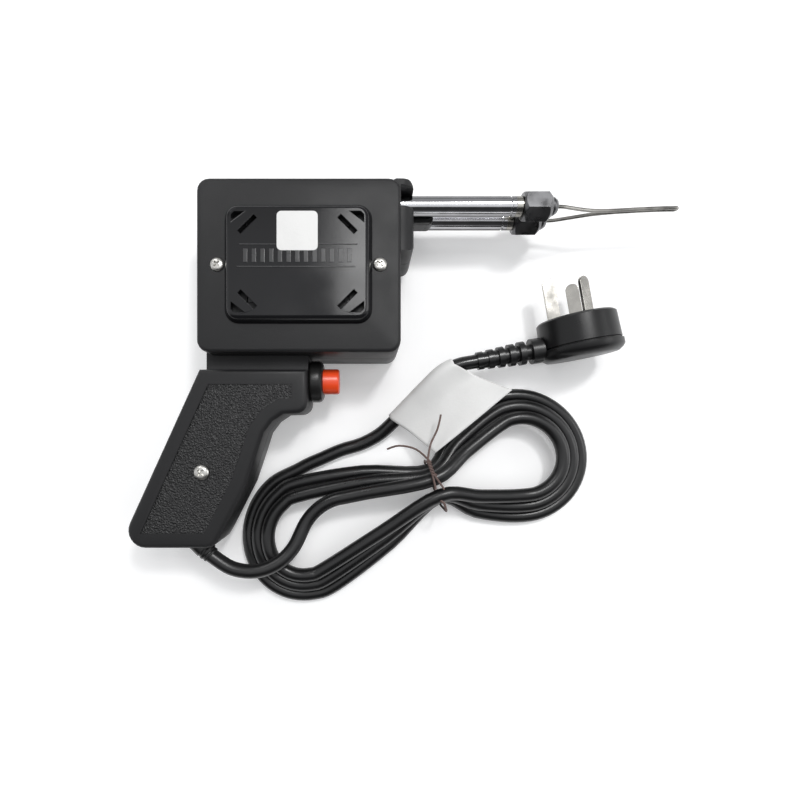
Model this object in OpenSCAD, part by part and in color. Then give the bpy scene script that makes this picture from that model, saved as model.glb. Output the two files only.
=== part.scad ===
// Instant-heat soldering gun with its mains lead bound in a hank.
// The gun lies on its side: +X runs along the barrel to the tip, +Y to the top
// of the housing and +Z out of the front cover. Lengths are millimetres.

/* [Housing] */
// Width of the housing along the barrel
housing_w = 91.5; // [85:0.5:100]
// Height of the housing
housing_h = 78; // [74:0.5:84]
// Thickness of the two closed half shells together
housing_t = 42; // [40:0.5:48]
// Radius of the housing's four corners
housing_r = 5.5; // [4:0.5:9]
// Wall thickness of the shells
wall = 2.4; // [1.8:0.1:2.8]
// Rounding of the housing's front and back edges
housing_edge = 1.6; // [1:0.1:2.2]

/* [Vent panels] */
// Width of each raised panel
panel_w = 66; // [62:0.5:68]
// Height of each raised panel
panel_h = 53; // [49:0.5:56]
// How far each panel stands out of the housing
panel_rise = 4; // [3:0.25:5]
// Corner radius of the panel
panel_r = 6.5; // [5:0.5:8]
// How far the panel's sides slope inwards
panel_slope = 2; // [1:0.25:2.5]
// Wall thickness of the panel
panel_wall = 1.6; // [1.2:0.1:2]
// Width of the slanted vent slots
vent_slot_w = 2; // [1.5:0.1:2.5]

/* [Nose] */
// How far the nose stands out of the housing
nose_out = 6.2; // [5:0.2:8]
// Height of the nose, down from the top of the housing
nose_h = 32; // [28:0.5:36]
// Rounding of the nose's front and back edges
nose_edge = 6; // [4:0.5:6]

/* [Barrel] */
// Outside diameter of each barrel tube
tube_d = 9.2; // [8.5:0.1:9.6]
// Bore of each barrel tube
tube_bore = 6.8; // [6.8:0.1:7.2]
// Distance between the two tube axes
tube_spacing = 16; // [15.6:0.1:17]
// Distance of the tube axes below the top of the housing
tube_drop = 7.4; // [7.2:0.1:9]
// Free length of the tubes in front of the housing
tube_free = 54.6; // [45:0.5:70]

/* [Tip nuts] */
// Size of the hexagon across its flats
nut_af = 13; // [11.5:0.1:13.2]
// Length of the hexagon
nut_len = 13.6; // [11:0.2:16]
// Length of the nut's tapered nose
nut_cone_len = 3.4; // [2.5:0.1:5]
// Diameter of the clamping stud's thread
stud_d = 7.6; // [7.2:0.1:8]
// Length of the bright collar between tube and nut
collar_len = 3; // [2:0.2:4]

/* [Tip] */
// Diameter of the tip wire
wire_d = 1.8; // [1.5:0.1:2]
// Length of the tip in front of the nuts
tip_len = 62; // [50:1:75]
// How far the tip's end is bent upwards
tip_lift = 2.5; // [0:0.5:4]

/* [Handle] */
// Thickness of the two closed handle halves together
handle_t = 27; // [25:0.5:30]
// Height of the recessed neck between housing and handle
neck_h = 6.7; // [5:0.1:8]
// Thickness of the neck
neck_t = 19; // [18:0.5:22]
// Height of the handle, from its top edge to its bottom
handle_h = 83; // [78:1:92]
// Depth of the sunk, textured grip field
grip_sink = 0.5; // [0.3:0.1:0.8]
// Rounding of the handle's front and back edges
handle_edge = 2.2; // [1.5:0.1:3]

/* [Trigger] */
// Diameter of the push button
button_d = 12.3; // [11:0.1:13]
// How far the button stands out of its collar
button_out = 7.6; // [6:0.2:9]
// Travel of the button
button_travel = 3.5; // [2.5:0.1:4]
// Outside diameter of the button's collar
bush_d = 20; // [18:0.2:20.4]
// How far the collar stands out of the handle
bush_out = 6.6; // [5:0.2:8]

/* [Screws] */
// Diameter of the housing screws' heads
head_d = 6.2; // [5.5:0.1:6.4]
// Height of the screw heads
head_h = 2.2; // [1.8:0.1:2.6]
// Diameter of the screws' shanks
shank_d = 3; // [2.6:0.1:3.2]
// Diameter of the handle screw's head
handle_head_d = 7; // [6:0.1:7.4]

/* [Transformer] */
// Width of the laminated core as a share of the housing's width
core_w_share = 0.634; // [0.6:0.002:0.64]
// Height of the laminated core as a share of the housing's height
core_h_share = 0.615; // [0.6:0.005:0.62]
// Thickness of the stack of laminations
core_t = 20; // [18:0.5:21]
// Width of the core's centre leg as a share of the core's height
leg_share = 0.333; // [0.3:0.005:0.34]
// Width of each winding window as a share of the core's height
window_share = 0.188; // [0.18:0.002:0.2]
// Diameter of the copper rod of the single-turn secondary
rod_d = 6.4; // [6:0.1:6.4]

/* [Mains lead] */
// Diameter of the mains lead
cord_d = 7; // [6.4:0.1:7.2]
// Spacing of neighbouring strands in the hank
cord_pitch = 7.8; // [7.6:0.1:8.2]
// Fold radius of the innermost loop
fold_r = 19; // [17:0.5:22]
// Reach of the hank from its tie to its right end
hank_right = 80; // [76:1:90]
// Reach of the hank from its tie to its left end
hank_left = 103; // [98:1:112]

/* [Plug] */
// Diameter of the plug's body
plug_d = 40; // [38:0.5:42]
// Depth of the plug's body
plug_depth = 20; // [18:0.5:24]
// Width of the flat pins
pin_w = 6.35; // [6:0.05:6.5]
// Thickness of the flat pins
pin_t = 1.6; // [1.5:0.05:1.8]
// Length of the earth pin
earth_len = 21.4; // [20:0.2:22]
// Length of the live and neutral pins
live_len = 18.2; // [17:0.2:19]

/* [Hidden] */
$fn = 48;

// Overrun of a cut past the face that it opens
over = 0.5;
// Gap of a seated piece that only has to drop in
seat_gap = 0.15;
// Gap round a sliding piece
slide_gap = 0.25;
// Running gap of a thread or a bush on its shaft
run_gap = 0.06;

// Places in the plane of the housing, from its centre
top_y = housing_h / 2;
side_x = housing_w / 2;
tube_y = top_y - tube_drop;
tube_z = tube_spacing / 2;
nose_x = side_x + nose_out;
tube_end_x = side_x + tube_free;
nut_x = tube_end_x + collar_len;
nut_end_x = nut_x + nut_len + nut_cone_len;
tip_end_x = nut_end_x + tip_len;

// Outline of the handle: the places are shares of its height, measured from the
// middle of its top edge's right end
handle_top = -top_y - neck_h;
handle_bottom = handle_top - handle_h;
handle_right = housing_w * 0.031;
heel_r = 8.3;
finger_r = 5.2;
grip_margin = 7;
heel_lean = 24.4;
front_lean_shares = [[-0.135, -0.25, 0], [-0.195, -0.29, 0], [-0.245, -0.355, 0],
    [-0.272, -0.44, 0], [-0.34, -0.645, 0], [-0.475, -0.91, 0]];
toe_r = 5.5;
heel_corner = [-handle_h * 0.555 - (handle_h + neck_h * 0.4) * tan(heel_lean), handle_bottom];
heel_centre_x = heel_corner.x + heel_r / tan((90 - heel_lean) / 2);
heel_x = heel_centre_x - heel_r;

// The whole gun is centred over its own box and rests on the back panel
body_x = -(tip_end_x + heel_x) / 2;
body_y = -(top_y + handle_bottom) / 2;
mid_z = housing_t / 2 + panel_rise;

// Trigger, on the handle's front side
trigger_y = handle_top - 4.7 * neck_h / 6.7;
bush_x = handle_right + bush_out;
button_x = bush_x + button_out;

// Transformer core
core_w = housing_w * core_w_share;
core_h = housing_h * core_h_share;
core_leg = core_h * leg_share;
window_w = core_h * window_share;

// Screws
screw_x = panel_w / 2 + 0.2 + head_d / 2;
boss_d = 8.4;
handle_screw_at = [heel_centre_x + handle_h * 0.315, handle_bottom + handle_h * 0.424];

// Direction and place of the mains lead's outlet
gland_at = [heel_centre_x + handle_h * 0.245, handle_bottom];
gland_turn = -45;
gland_out = 9;

// A polygon of [x, y, r] corners with each corner rounded to its radius
function rounded(pts) = let (n = len(pts)) [for (i = [0:n - 1])
    each let (c = [pts[i].x, pts[i].y], r = pts[i].z,
        a = pts[(i + n - 1) % n], b = pts[(i + 1) % n],
        u = unit([a.x, a.y] - c), v = unit([b.x, b.y] - c), m = unit(u + v),
        half = acos(u * v) / 2, turn = 90 - half, side = sign(cross(v, u)),
        start = atan2(-m.y, -m.x) - side * turn)
        r == 0 ? [c] : arc(c + m * r / sin(half), r, start, start + 2 * side * turn, ceil(turn / 8))];

// Points on an arc, both ends included
function arc(c, r, a0, a1, n) = [for (i = [0:n]) c + r * [cos(a0 + (a1 - a0) * i / n), sin(a0 + (a1 - a0) * i / n)]];

// A rounded rectangle about the origin, counter-clockwise
function round_rect(w, h, r, n = 5) = [
    each arc([w / 2 - r, -h / 2 + r], r, -90, 0, n),
    each arc([w / 2 - r, h / 2 - r], r, 0, 90, n),
    each arc([-w / 2 + r, h / 2 - r], r, 90, 180, n),
    each arc([-w / 2 + r, -h / 2 + r], r, 180, 270, n)];

function unit(v) = v / norm(v);

// The outline moved inwards by d, corner by corner
function inset(pts, d) = let (n = len(pts)) [for (i = [0:n - 1])
    let (a = unit(pts[i] - pts[(i + n - 1) % n]),
         b = unit(pts[(i + 1) % n] - pts[i]),
         m = [-a.y - b.y, a.x + b.x])
    pts[i] + m * d / (1 + a.x * b.x + a.y * b.y)];

// A plate on its outline whose far edge is rounded, from just below z = 0 to z = h
module soft_plate(pts, h, r, steps = 4) {
    n = len(pts);
    rings = [[0, -over], for (i = [0:steps]) [r * (1 - cos(90 * i / steps)), h - r + r * sin(90 * i / steps)]];
    last = len(rings) - 1;
    polyhedron(
        points = [for (g = rings) let (p = inset(pts, g[0])) for (q = p) [q.x, q.y, g[1]]],
        faces = [
            [for (i = [0:n - 1]) i],
            for (j = [0:last - 1], i = [0:n - 1])
                each let (k = (i + 1) % n, a = j * n, b = a + n) [[a + i, b + i, b + k], [a + i, b + k, a + k]],
            [for (i = [n - 1:-1:0]) last * n + i]]);
}

// Unit vectors across a path, carried along without twist from the first one
function across(t, a) = unit(a - (a * t) * t);
function carried(ts, a, i = 0) = i == len(ts) ? [] :
    let (b = across(ts[i], a)) concat([b], carried(ts, b, i + 1));
function tangents(pts) = let (n = len(pts)) [for (i = [0:n - 1])
    unit(pts[min(i + 1, n - 1)] - pts[max(i - 1, 0)])];

// A round tube swept along the points, with flat ends
module swept(pts, d, sides = 8) {
    ts = tangents(pts);
    up = carried(ts, abs(ts[0].z) > 0.9 ? [1, 0, 0] : [0, 0, 1]);
    n = len(pts);
    polyhedron(
        points = [for (i = [0:n - 1]) let (s = cross(ts[i], up[i]))
            for (k = [0:sides - 1]) let (a = 360 * (k + 0.5) / sides)
                pts[i] + d / 2 * (cos(a) * s + sin(a) * up[i])],
        faces = [
            [for (k = [0:sides - 1]) k],
            for (i = [0:n - 2], k = [0:sides - 1])
                each let (m = (k + 1) % sides, a = i * sides, b = a + sides)
                    [[a + k, b + k, b + m], [a + k, b + m, a + m]],
            [for (k = [sides - 1:-1:0]) (n - 1) * sides + k]]);
}

// A smooth curve through hand-chosen points, in equal steps of its parameter
function spline_at(p, i, t) = let (n = len(p), a = p[max(i - 1, 0)], b = p[i], c = p[i + 1], e = p[min(i + 2, n - 1)])
    0.5 * ((2 * b) + (c - a) * t + (2 * a - 5 * b + 4 * c - e) * t * t + (3 * b - a - 3 * c + e) * t * t * t);
function spline(p, steps) = [for (i = [0:len(p) - 2], j = [0:steps - 1]) spline_at(p, i, j / steps), p[len(p) - 1]];

function path_length(p) = len(p) < 2 ? 0 : [for (i = 1, s = norm(p[1] - p[0]); i < len(p);
    i = i + 1, s = i < len(p) ? s + norm(p[i] - p[i - 1]) : s) s][len(p) - 2];

// Everything on the gun is drawn about the housing's centre and the parting plane
module on_gun() translate([body_x, body_y, mid_z]) children();

// The outline of one housing half, of the neck and of the handle
housing_pts = round_rect(housing_w, housing_h, housing_r);
front_pts = [for (s = front_lean_shares) [handle_right + s.x * handle_h, handle_top + s.y * handle_h, s.z]];
toe_corner = [handle_right - 0.525 * handle_h, handle_bottom, toe_r];
finger_corner = [handle_right, handle_top - 0.245 * handle_h, finger_r];
handle_corners = [[heel_corner.x, heel_corner.y, heel_r], toe_corner,
    each [for (i = [5:-1:0]) front_pts[i]], finger_corner,
    [handle_right, handle_top, 0],
    [heel_corner.x + handle_h * tan(heel_lean), handle_top, 0]];
handle_pts = rounded(handle_corners);
grip_pts = inset([for (c = handle_corners) [c.x, c.y]], grip_margin);
neck_left = heel_corner.x + (handle_h + neck_h / 2) * tan(heel_lean) + 1;
neck_pts = [[neck_left, handle_top - handle_edge * 2], [handle_right, handle_top - handle_edge * 2],
    [handle_right, -top_y + wall], [neck_left, -top_y + wall]];

module half_outside() {
    soft_plate(housing_pts, housing_t / 2, housing_edge);
    soft_plate(handle_pts, handle_t / 2, handle_edge);
    linear_extrude(neck_t / 2) polygon(neck_pts);
    nose_outside();
}

// The nose: a block whose outer edge rolls over towards the barrel
module nose_outside() {
    nose_t = housing_t / 2 - 1;
    corner_r = 3.5;
    intersection() {
        translate([side_x - wall, top_y, 0]) rotate([90, 0, 0]) linear_extrude(nose_h)
            union() {
                square([wall + nose_out - nose_edge, nose_t]);
                square([wall + nose_out, nose_t - nose_edge]);
                translate([wall + nose_out - nose_edge, nose_t - nose_edge]) circle(nose_edge);
            }
        linear_extrude(nose_t + over) translate([nose_x - corner_r, top_y - corner_r]) nose_front(corner_r);
    }
}

// The nose seen from the front, with its two outer corners rounded
module nose_front(r) {
    back = nose_out + wall + over;
    translate([-back, r - nose_h]) square([back, nose_h]);
    circle(r);
    translate([0, 2 * r - nose_h]) circle(r);
    translate([-over, 2 * r - nose_h]) square([over + r, nose_h - 2 * r]);
}

module half_cavity() {
    linear_extrude(2 * over + housing_t / 2 - wall) polygon(inset(housing_pts, wall));
    linear_extrude(2 * over + handle_t / 2 - wall) polygon(inset(handle_pts, wall));
    linear_extrude(2 * over + neck_t / 2 - wall)
        translate([neck_left + wall, handle_top - 2 * wall])
            square([handle_right - neck_left - 2 * wall, neck_h + 4 * wall]);
}

front_window = [panel_w - 20, panel_h - 19];

// What both shells share: an open half with its window, ribs and barrel bed
module half_shell() {
    difference() {
        union() {
            difference() {
                half_outside();
                translate([0, 0, -2 * over]) half_cavity();
                linear_extrude(housing_t) square(front_window, center = true);
            }
            core_posts();
            barrel_bed();
            boss_columns();
        }
        barrel_cut();
        trigger_cut();
        gland_cut();
        grip_field();
        below_parting();
    }
}

// Everything on the far side of the parting plane
module below_parting() translate([-2 * housing_w, -3 * housing_h, -4 * over])
    cube([4 * housing_w, 5 * housing_h, 4 * over]);

// Posts that hold the core's four corners
module core_posts() {
    post_d = 5;
    for (x = [-1, 1], y = [-1, 1])
        translate([x * (core_w / 2 - post_d / 2), y * (core_h / 2 - post_d / 2), core_t / 2 + seat_gap])
            cylinder(h = housing_t / 2 - wall - core_t / 2, d = post_d);
}

bed_len = 8;
spacer_h = 14;
spacer_t = 8;
spacer_out = 10.2;

// The solid behind the nose in which the tubes lie
module barrel_bed() {
    translate([side_x - wall - bed_len, top_y - nose_h + wall, 0])
        cube([bed_len + wall, nose_h - 2 * wall, housing_t / 2 - wall]);
}

module barrel_cut() {
    start = side_x - wall - bed_len - over;
    reach = nose_x - start + over;
    translate([start, tube_y, tube_z]) rotate([0, 90, 0]) cylinder(h = reach, d = tube_d + 2 * seat_gap);
    translate([side_x, tube_y - tube_d / 2 - seat_gap, tube_z])
        cube([nose_out + over, tube_d + 2 * seat_gap, housing_t]);
    translate([start, tube_y - spacer_h / 2 - seat_gap, -over])
        cube([reach, spacer_h + 2 * seat_gap, spacer_t / 2 + seat_gap + over]);
}

module trigger_cut() {
    translate([handle_right - wall - over, trigger_y, 0]) rotate([0, 90, 0])
        cylinder(h = wall + 2 * over, d = bush_thread_d + 2 * seat_gap);
}

module gland_cut() {
    translate([gland_at.x, gland_at.y, 0]) rotate([0, 0, gland_turn]) translate([-gland_seat, 0, 0])
        rotate([0, 90, 0]) cylinder(h = gland_seat + gland_out, d = gland_neck_d + 2 * seat_gap);
}

// The sunk field of the grip, a margin inside the handle's outline
module grip_field() {
    translate([0, 0, handle_t / 2 - grip_sink]) linear_extrude(grip_sink + over)
        polygon(grip_pts);
}

boss_at = [[screw_x, 0], [-screw_x, 0], handle_screw_at];
function boss_face(i) = i < 2 ? housing_t / 2 : handle_t / 2;

module boss_columns() {
    for (i = [0:2]) translate([boss_at[i].x, boss_at[i].y, 0]) cylinder(h = boss_face(i) - wall / 2, d = boss_d);
}

head_sink = 0.8;

module front_shell() on_gun() color([0.13, 0.13, 0.14]) difference() {
    half_shell();
    for (i = [0:2]) translate([boss_at[i].x, boss_at[i].y, -over]) {
        cylinder(h = housing_t, d = shank_d + 2 * seat_gap);
        translate([0, 0, over + boss_face(i) - head_sink])
            cylinder(h = housing_t, d = (i < 2 ? head_d : handle_head_d) + 2 * seat_gap);
    }
}

screw_bite = 9;

module back_shell() on_gun() color([0.13, 0.13, 0.14]) difference() {
    union() {
        mirror([0, 0, 1]) half_shell();
        at_clamp() for (x = [-clamp_reach, clamp_reach]) translate([x, 0, -handle_t / 2 + wall / 2])
            cylinder(h = handle_t / 2 - wall / 2 + cord_d / 2, d = clamp_post_d);
    }
    at_clamp() for (x = [-clamp_reach, clamp_reach]) translate([x, 0, -clamp_screw_end - 0.5])
        cylinder(h = clamp_screw_end + cord_d + over, d = clamp_screw_d + 2 * run_gap);
    for (i = [0:2]) translate([boss_at[i].x, boss_at[i].y, -screw_bite - over])
        cylinder(h = screw_bite + 2 * over, d = shank_d + 2 * run_gap);
}

// The raised, hollow panel with vents in its corners
panel_pts = round_rect(panel_w, panel_h, panel_r);
panel_lip = 1.5;

module vent_panel() difference() {
    union() {
        translate([0, 0, housing_t / 2]) panel_dome(panel_w, panel_h, panel_r, panel_rise, panel_slope);
        translate([0, 0, housing_t / 2 - panel_lip]) linear_extrude(panel_lip + panel_wall)
            difference() {
                square(front_window - 2 * seat_gap * [1, 1], center = true);
                square(front_window - 2 * (seat_gap + panel_wall) * [1, 1], center = true);
            }
    }
    translate([0, 0, housing_t / 2 - over]) linear_extrude(panel_rise - panel_wall + over)
        square([front_window.x - 2 * (seat_gap + panel_wall), front_window.y - 2 * (seat_gap + panel_wall)], center = true);
    for (x = [0, 1], y = [0, 1]) mirror([x, 0, 0]) mirror([0, y, 0]) corner_vents();
}

// Sloping sides with a soft upper edge
module panel_dome(w, h, r, rise, slope) {
    pts = round_rect(w, h, r, 6);
    n = len(pts);
    soft = 1.1;
    rings = [[0, 0], [slope * 0.25, rise * 0.35], [slope - soft * 0.5, rise - soft],
        [slope, rise - soft * 0.3], [slope + soft, rise]];
    last = len(rings) - 1;
    polyhedron(
        points = [for (g = rings) let (p = inset(pts, g[0])) for (q = p) [q.x, q.y, g[1]]],
        faces = [
            [for (i = [0:n - 1]) i],
            for (j = [0:last - 1], i = [0:n - 1])
                each let (k = (i + 1) % n, a = j * n, b = a + n) [[a + i, b + i, b + k], [a + i, b + k, a + k]],
            [for (i = [n - 1:-1:0]) last * n + i]]);
}

// One corner's openings: a long slot at 45 degrees and a small three-sided one
module corner_vents() {
    slot_len = 10;
    at = [panel_w / 2 - 11, panel_h / 2 - 10];
    translate([0, 0, housing_t / 2 - over]) linear_extrude(panel_rise + 2 * over) {
        translate(at) rotate(-45) square([slot_len, vent_slot_w], center = true);
        translate(at + [5.2, 3.6]) polygon([[-4, 2], [0.6, 2], [2, 0.6], [2, -2.6], [-4, 2]]);
    }
}

module front_panel() on_gun() color([0.08, 0.08, 0.09]) vent_panel();
module back_panel() on_gun() color([0.08, 0.08, 0.09]) mirror([0, 0, 1]) vent_panel();

sticker_w = 18;
sticker_t = 0.25;
module sticker() on_gun() color([0.95, 0.95, 0.95])
    translate([0, panel_h / 2 - 4 - sticker_w / 2, housing_t / 2 + panel_rise]) linear_extrude(sticker_t)
        polygon(round_rect(sticker_w, sticker_w * 0.96, 2));

// The insulating block between the tubes
module tube_spacer() on_gun() color([0.06, 0.06, 0.06]) difference() {
    start = side_x - wall - bed_len;
    len = nose_x + spacer_out - start;
    round_r = 3;
    translate([start, tube_y - spacer_h / 2, -spacer_t / 2]) linear_extrude(spacer_t) union() {
        square([len - round_r, spacer_h]);
        translate([0, round_r]) square([len, spacer_h - 2 * round_r]);
        for (y = [round_r, spacer_h - round_r]) translate([len - round_r, y]) circle(round_r);
    }
    for (z = [-1, 1]) translate([start - over, tube_y, z * tube_z]) rotate([0, 90, 0])
        cylinder(h = len + 2 * over, d = tube_d + 2 * seat_gap);
}

tube_tail = 8;
tube_start_x = side_x - wall - bed_len - tube_tail;
groove_w = 0.9;
groove_in = 0.5;

// A barrel tube with the turned groove near its front end
module barrel_tube() color([0.8, 0.8, 0.82]) difference() {
    translate([tube_start_x, tube_y, 0]) rotate([0, 90, 0])
        cylinder(h = tube_end_x - tube_start_x, d = tube_d);
    translate([tube_start_x - over, tube_y, 0]) rotate([0, 90, 0])
        cylinder(h = tube_end_x - tube_start_x + 2 * over, d = tube_bore);
    translate([tube_end_x - 3 * groove_w, tube_y, 0]) rotate([0, 90, 0]) difference() {
        cylinder(h = groove_w, d = tube_d + over);
        translate([0, 0, -over]) cylinder(h = groove_w + 2 * over, d = tube_d - 2 * groove_in);
    }
}

module upper_tube() on_gun() translate([0, 0, tube_z]) barrel_tube();
module lower_tube() on_gun() translate([0, 0, -tube_z]) barrel_tube();

stud_len = 9;
stud_root = 8;
tip_gap = 0.1;
stud_slot_d = wire_d + 2 * tip_gap;

// The stud brazed into the tube's end: a root, a collar and the nut's thread
module clamp_stud() color([0.72, 0.7, 0.66]) translate([tube_end_x, tube_y, 0]) rotate([0, 90, 0])
    difference() {
        union() {
            translate([0, 0, -stud_root]) cylinder(h = stud_root + collar_len, d = tube_bore - 2 * run_gap);
            cylinder(h = collar_len, d = tube_d);
            cylinder(h = collar_len + stud_len, d = stud_d);
        }
        translate([0, 0, collar_len]) cylinder(h = stud_len + over, d = stud_slot_d);
    }

module upper_stud() on_gun() translate([0, 0, tube_z]) clamp_stud();
module lower_stud() on_gun() translate([0, 0, -tube_z]) clamp_stud();

nut_lift = 0.2;
nut_turn = 24;
nut_bore_d = wire_d + 0.8;
nut_nose_d = 6.2;

// A chamfered hexagon with a tapered nose, threaded over the stud
module tip_nut() color([0.36, 0.36, 0.38]) translate([nut_x + nut_lift, tube_y, 0]) rotate([0, 90, 0]) difference() {
    corner_d = nut_af / cos(30);
    chamfer = 1.6;
    union() {
        intersection() {
            rotate(nut_turn) cylinder(h = nut_len, d = corner_d, $fn = 6);
            rotate_extrude() polygon([[0, 0], [corner_d / 2 - chamfer, 0], [corner_d / 2, chamfer],
                [corner_d / 2, nut_len - 1.6 * chamfer], [corner_d / 2 - 1.6 * chamfer, nut_len], [0, nut_len]]);
        }
        translate([0, 0, nut_len - over]) rotate_extrude() polygon([[0, 0], [nut_nose_d / 2 + 1.2, 0],
            [nut_nose_d / 2 + 1.1, over + nut_cone_len * 0.35], [nut_nose_d / 2, over + nut_cone_len * 0.8],
            [nut_nose_d / 2 - 1, over + nut_cone_len - nut_lift], [0, over + nut_cone_len - nut_lift]]);
    }
    translate([0, 0, -over]) cylinder(h = stud_len + 2 * over, d = stud_d + 2 * run_gap);
    translate([0, 0, -over]) cylinder(h = nut_len + nut_cone_len + 2 * over, d = nut_bore_d);
}

module upper_nut() on_gun() translate([0, 0, tube_z]) tip_nut();
module lower_nut() on_gun() translate([0, 0, -tube_z]) tip_nut();

// The tip: one wire from stud to stud, its legs drawn together to the bend
tip_inside = 10;
leg_z = wire_d / 2 + 0.15;
tip_leg = [
    [nut_end_x - tip_inside, tube_y, tube_z],
    [nut_end_x - tip_inside / 2, tube_y, tube_z],
    [nut_end_x + 1.5, tube_y, tube_z],
    [nut_end_x + tip_len * 0.08, tube_y, tube_z * 0.9],
    [nut_end_x + tip_len * 0.2, tube_y, tube_z * 0.56],
    [nut_end_x + tip_len * 0.33, tube_y, tube_z * 0.26],
    [nut_end_x + tip_len * 0.46, tube_y, leg_z * 1.15],
    [nut_end_x + tip_len * 0.58, tube_y, leg_z],
    [nut_end_x + tip_len * 0.8, tube_y, leg_z],
    [tip_end_x - wire_d / 2 - leg_z, tube_y, leg_z]];
function lifted(p) = let (t = max(0, (p.x - nut_end_x) / tip_len)) [p.x, p.y + tip_lift * t * t * (3 - 2 * t), p.z];
tip_curve = [for (p = spline(tip_leg, 3)) lifted(p)];
tip_bend = [for (a = [60, 30, 0, -30, -60]) lifted([tip_end_x - wire_d / 2 - leg_z + leg_z * cos(a), tube_y, leg_z * sin(a)])];
tip_back = [for (i = [len(tip_curve) - 1:-1:0]) [tip_curve[i].x, tip_curve[i].y, -tip_curve[i].z]];

module tip_wire() on_gun() color([0.62, 0.6, 0.57]) swept(concat(tip_curve, tip_bend, tip_back), wire_d, 10);

// Transformer, on the housing's centre
yoke_share = 0.155;
coil_share = 0.7;
yoke = core_w * yoke_share;
window_len = core_w - 2 * yoke;
coil_len = window_len * coil_share;
coil_start = -window_len / 2 + 0.4;
flange_rise = 7;

module core() on_gun() color([0.45, 0.44, 0.43]) difference() {
    translate([0, 0, -core_t / 2]) linear_extrude(core_t) square([core_w, core_h], center = true);
    for (y = [-1, 1]) translate([0, y * (core_leg + window_w) / 2, 0])
        cube([window_len, window_w, core_t + 2 * over], center = true);
}

bobbin_wall = 1;
flange_y = core_leg + 2 * window_w - 0.6;
flange_z = core_t + 2 * flange_rise;

// A length of rectangular sleeve round the centre leg
module sleeve(x, length, outer, inner) translate([x, 0, 0]) rotate([90, 0, 90]) linear_extrude(length)
    difference() {
        square(outer, center = true);
        square(inner, center = true);
    }

leg_hole = [core_leg + 2 * seat_gap, core_t + 2 * seat_gap];
sleeve_out = leg_hole + 2 * bobbin_wall * [1, 1];

module bobbin() on_gun() color([0.85, 0.82, 0.72]) {
    sleeve(coil_start, coil_len, sleeve_out, leg_hole);
    for (x = [coil_start, coil_start + coil_len - bobbin_wall]) sleeve(x, bobbin_wall, [flange_y, flange_z], leg_hole);
}

module primary_winding() on_gun() color([0.72, 0.4, 0.2])
    sleeve(coil_start + bobbin_wall + seat_gap, coil_len - 2 * bobbin_wall - 2 * seat_gap,
        [flange_y - 1.4, flange_z - 1.4], sleeve_out + 2 * seat_gap * [1, 1]);

// The secondary: one copper rod round the centre leg, from tube to tube
rod_x = window_len / 2 - rod_d / 2 - 2.4;
rod_z = core_t / 2 + 1.4 + rod_d / 2;
rod_low = -(core_leg + window_w) / 2;
rod_in = 6;
rod_side = [
    [tube_start_x + rod_in, tube_y, tube_z],
    [tube_start_x - 1, tube_y, tube_z],
    [tube_start_x - 5, tube_y - 0.6, tube_z + 1.6],
    [rod_x + 2.6, tube_y - 4, rod_z - 1.4],
    [rod_x, tube_y - 10, rod_z],
    [rod_x, core_leg / 2, rod_z],
    [rod_x, 0, rod_z],
    [rod_x, rod_low + rod_d, rod_z],
    [rod_x, rod_low + rod_d * 0.22, rod_z - rod_d * 0.25],
    [rod_x, rod_low, rod_z - rod_d]];
rod_half = spline(rod_side, 3);

module secondary_rod() on_gun() color([0.75, 0.45, 0.25])
    swept(concat(rod_half, [for (i = [len(rod_half) - 1:-1:0]) [rod_half[i].x, rod_half[i].y, -rod_half[i].z]]), rod_d, 12);

// Push button with its flange and stem
bush_thread_d = 15.5;
bush_nut_t = 1;
flange_t = 2;
flange_d = 15;
flange_x = handle_right - wall - 0.3;
stem_d = 5;
bridge_t = 1.2;
switch_x = flange_x - flange_t - 10;
bridge_x = switch_x - 3;
switch_len = (handle_right - neck_left) * 0.42;
switch_y = 15;
switch_z = 14;

module button() on_gun() color([0.9, 0.25, 0.1]) translate([0, trigger_y, 0]) rotate([0, 90, 0]) {
    soft = 0.9;
    translate([0, 0, flange_x - flange_t]) rotate_extrude() polygon([
        [0, 0], [flange_d / 2, 0], [flange_d / 2, flange_t], [button_d / 2, flange_t],
        [button_d / 2, button_x - flange_x + flange_t - soft],
        [button_d / 2 - soft * 0.3, button_x - flange_x + flange_t - soft * 0.3],
        [button_d / 2 - soft, button_x - flange_x + flange_t], [0, button_x - flange_x + flange_t]]);
    translate([0, 0, bridge_x]) cylinder(h = flange_x - flange_t - bridge_x, d = stem_d);
}

// The collar round the button, screwed through the handle's wall
module button_collar() on_gun() color([0.05, 0.05, 0.05]) translate([handle_right, trigger_y, 0]) rotate([0, 90, 0])
    rotate_extrude() polygon([
        [button_d / 2 + slide_gap, -wall], [bush_thread_d / 2, -wall], [bush_thread_d / 2, 0.02],
        [bush_d / 2 - 0.8, 0.02], [bush_d / 2, 1], [bush_d / 2, bush_out - 2],
        [bush_d / 2 - 0.6, bush_out - 0.7], [bush_d / 2 - 2, bush_out], [button_d / 2 + slide_gap, bush_out]]);

spring_d = 9;
spring_wire = 0.9;
spring_turns = 4;

module button_spring() on_gun() color([0.7, 0.7, 0.72]) {
    run = flange_x - flange_t - switch_x - spring_wire - 0.3;
    steps = 12 * spring_turns;
    translate([switch_x + 0.15 + spring_wire / 2, trigger_y, 0])
        swept([for (i = [0:steps]) [run * i / steps, (spring_d - spring_wire) / 2 * cos(30 * i),
            (spring_d - spring_wire) / 2 * sin(30 * i)]], spring_wire, 6);
}

bridge_w = 5;
bridge_span = 11;
contact_gap = button_travel + 0.1;
contact_z = 4;

// The moving contact on the stem's end
module contact_bridge() on_gun() color([0.8, 0.62, 0.3])
    translate([bridge_x - bridge_t, trigger_y - bridge_w / 2, -bridge_span / 2]) cube([bridge_t, bridge_w, bridge_span]);

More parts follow.
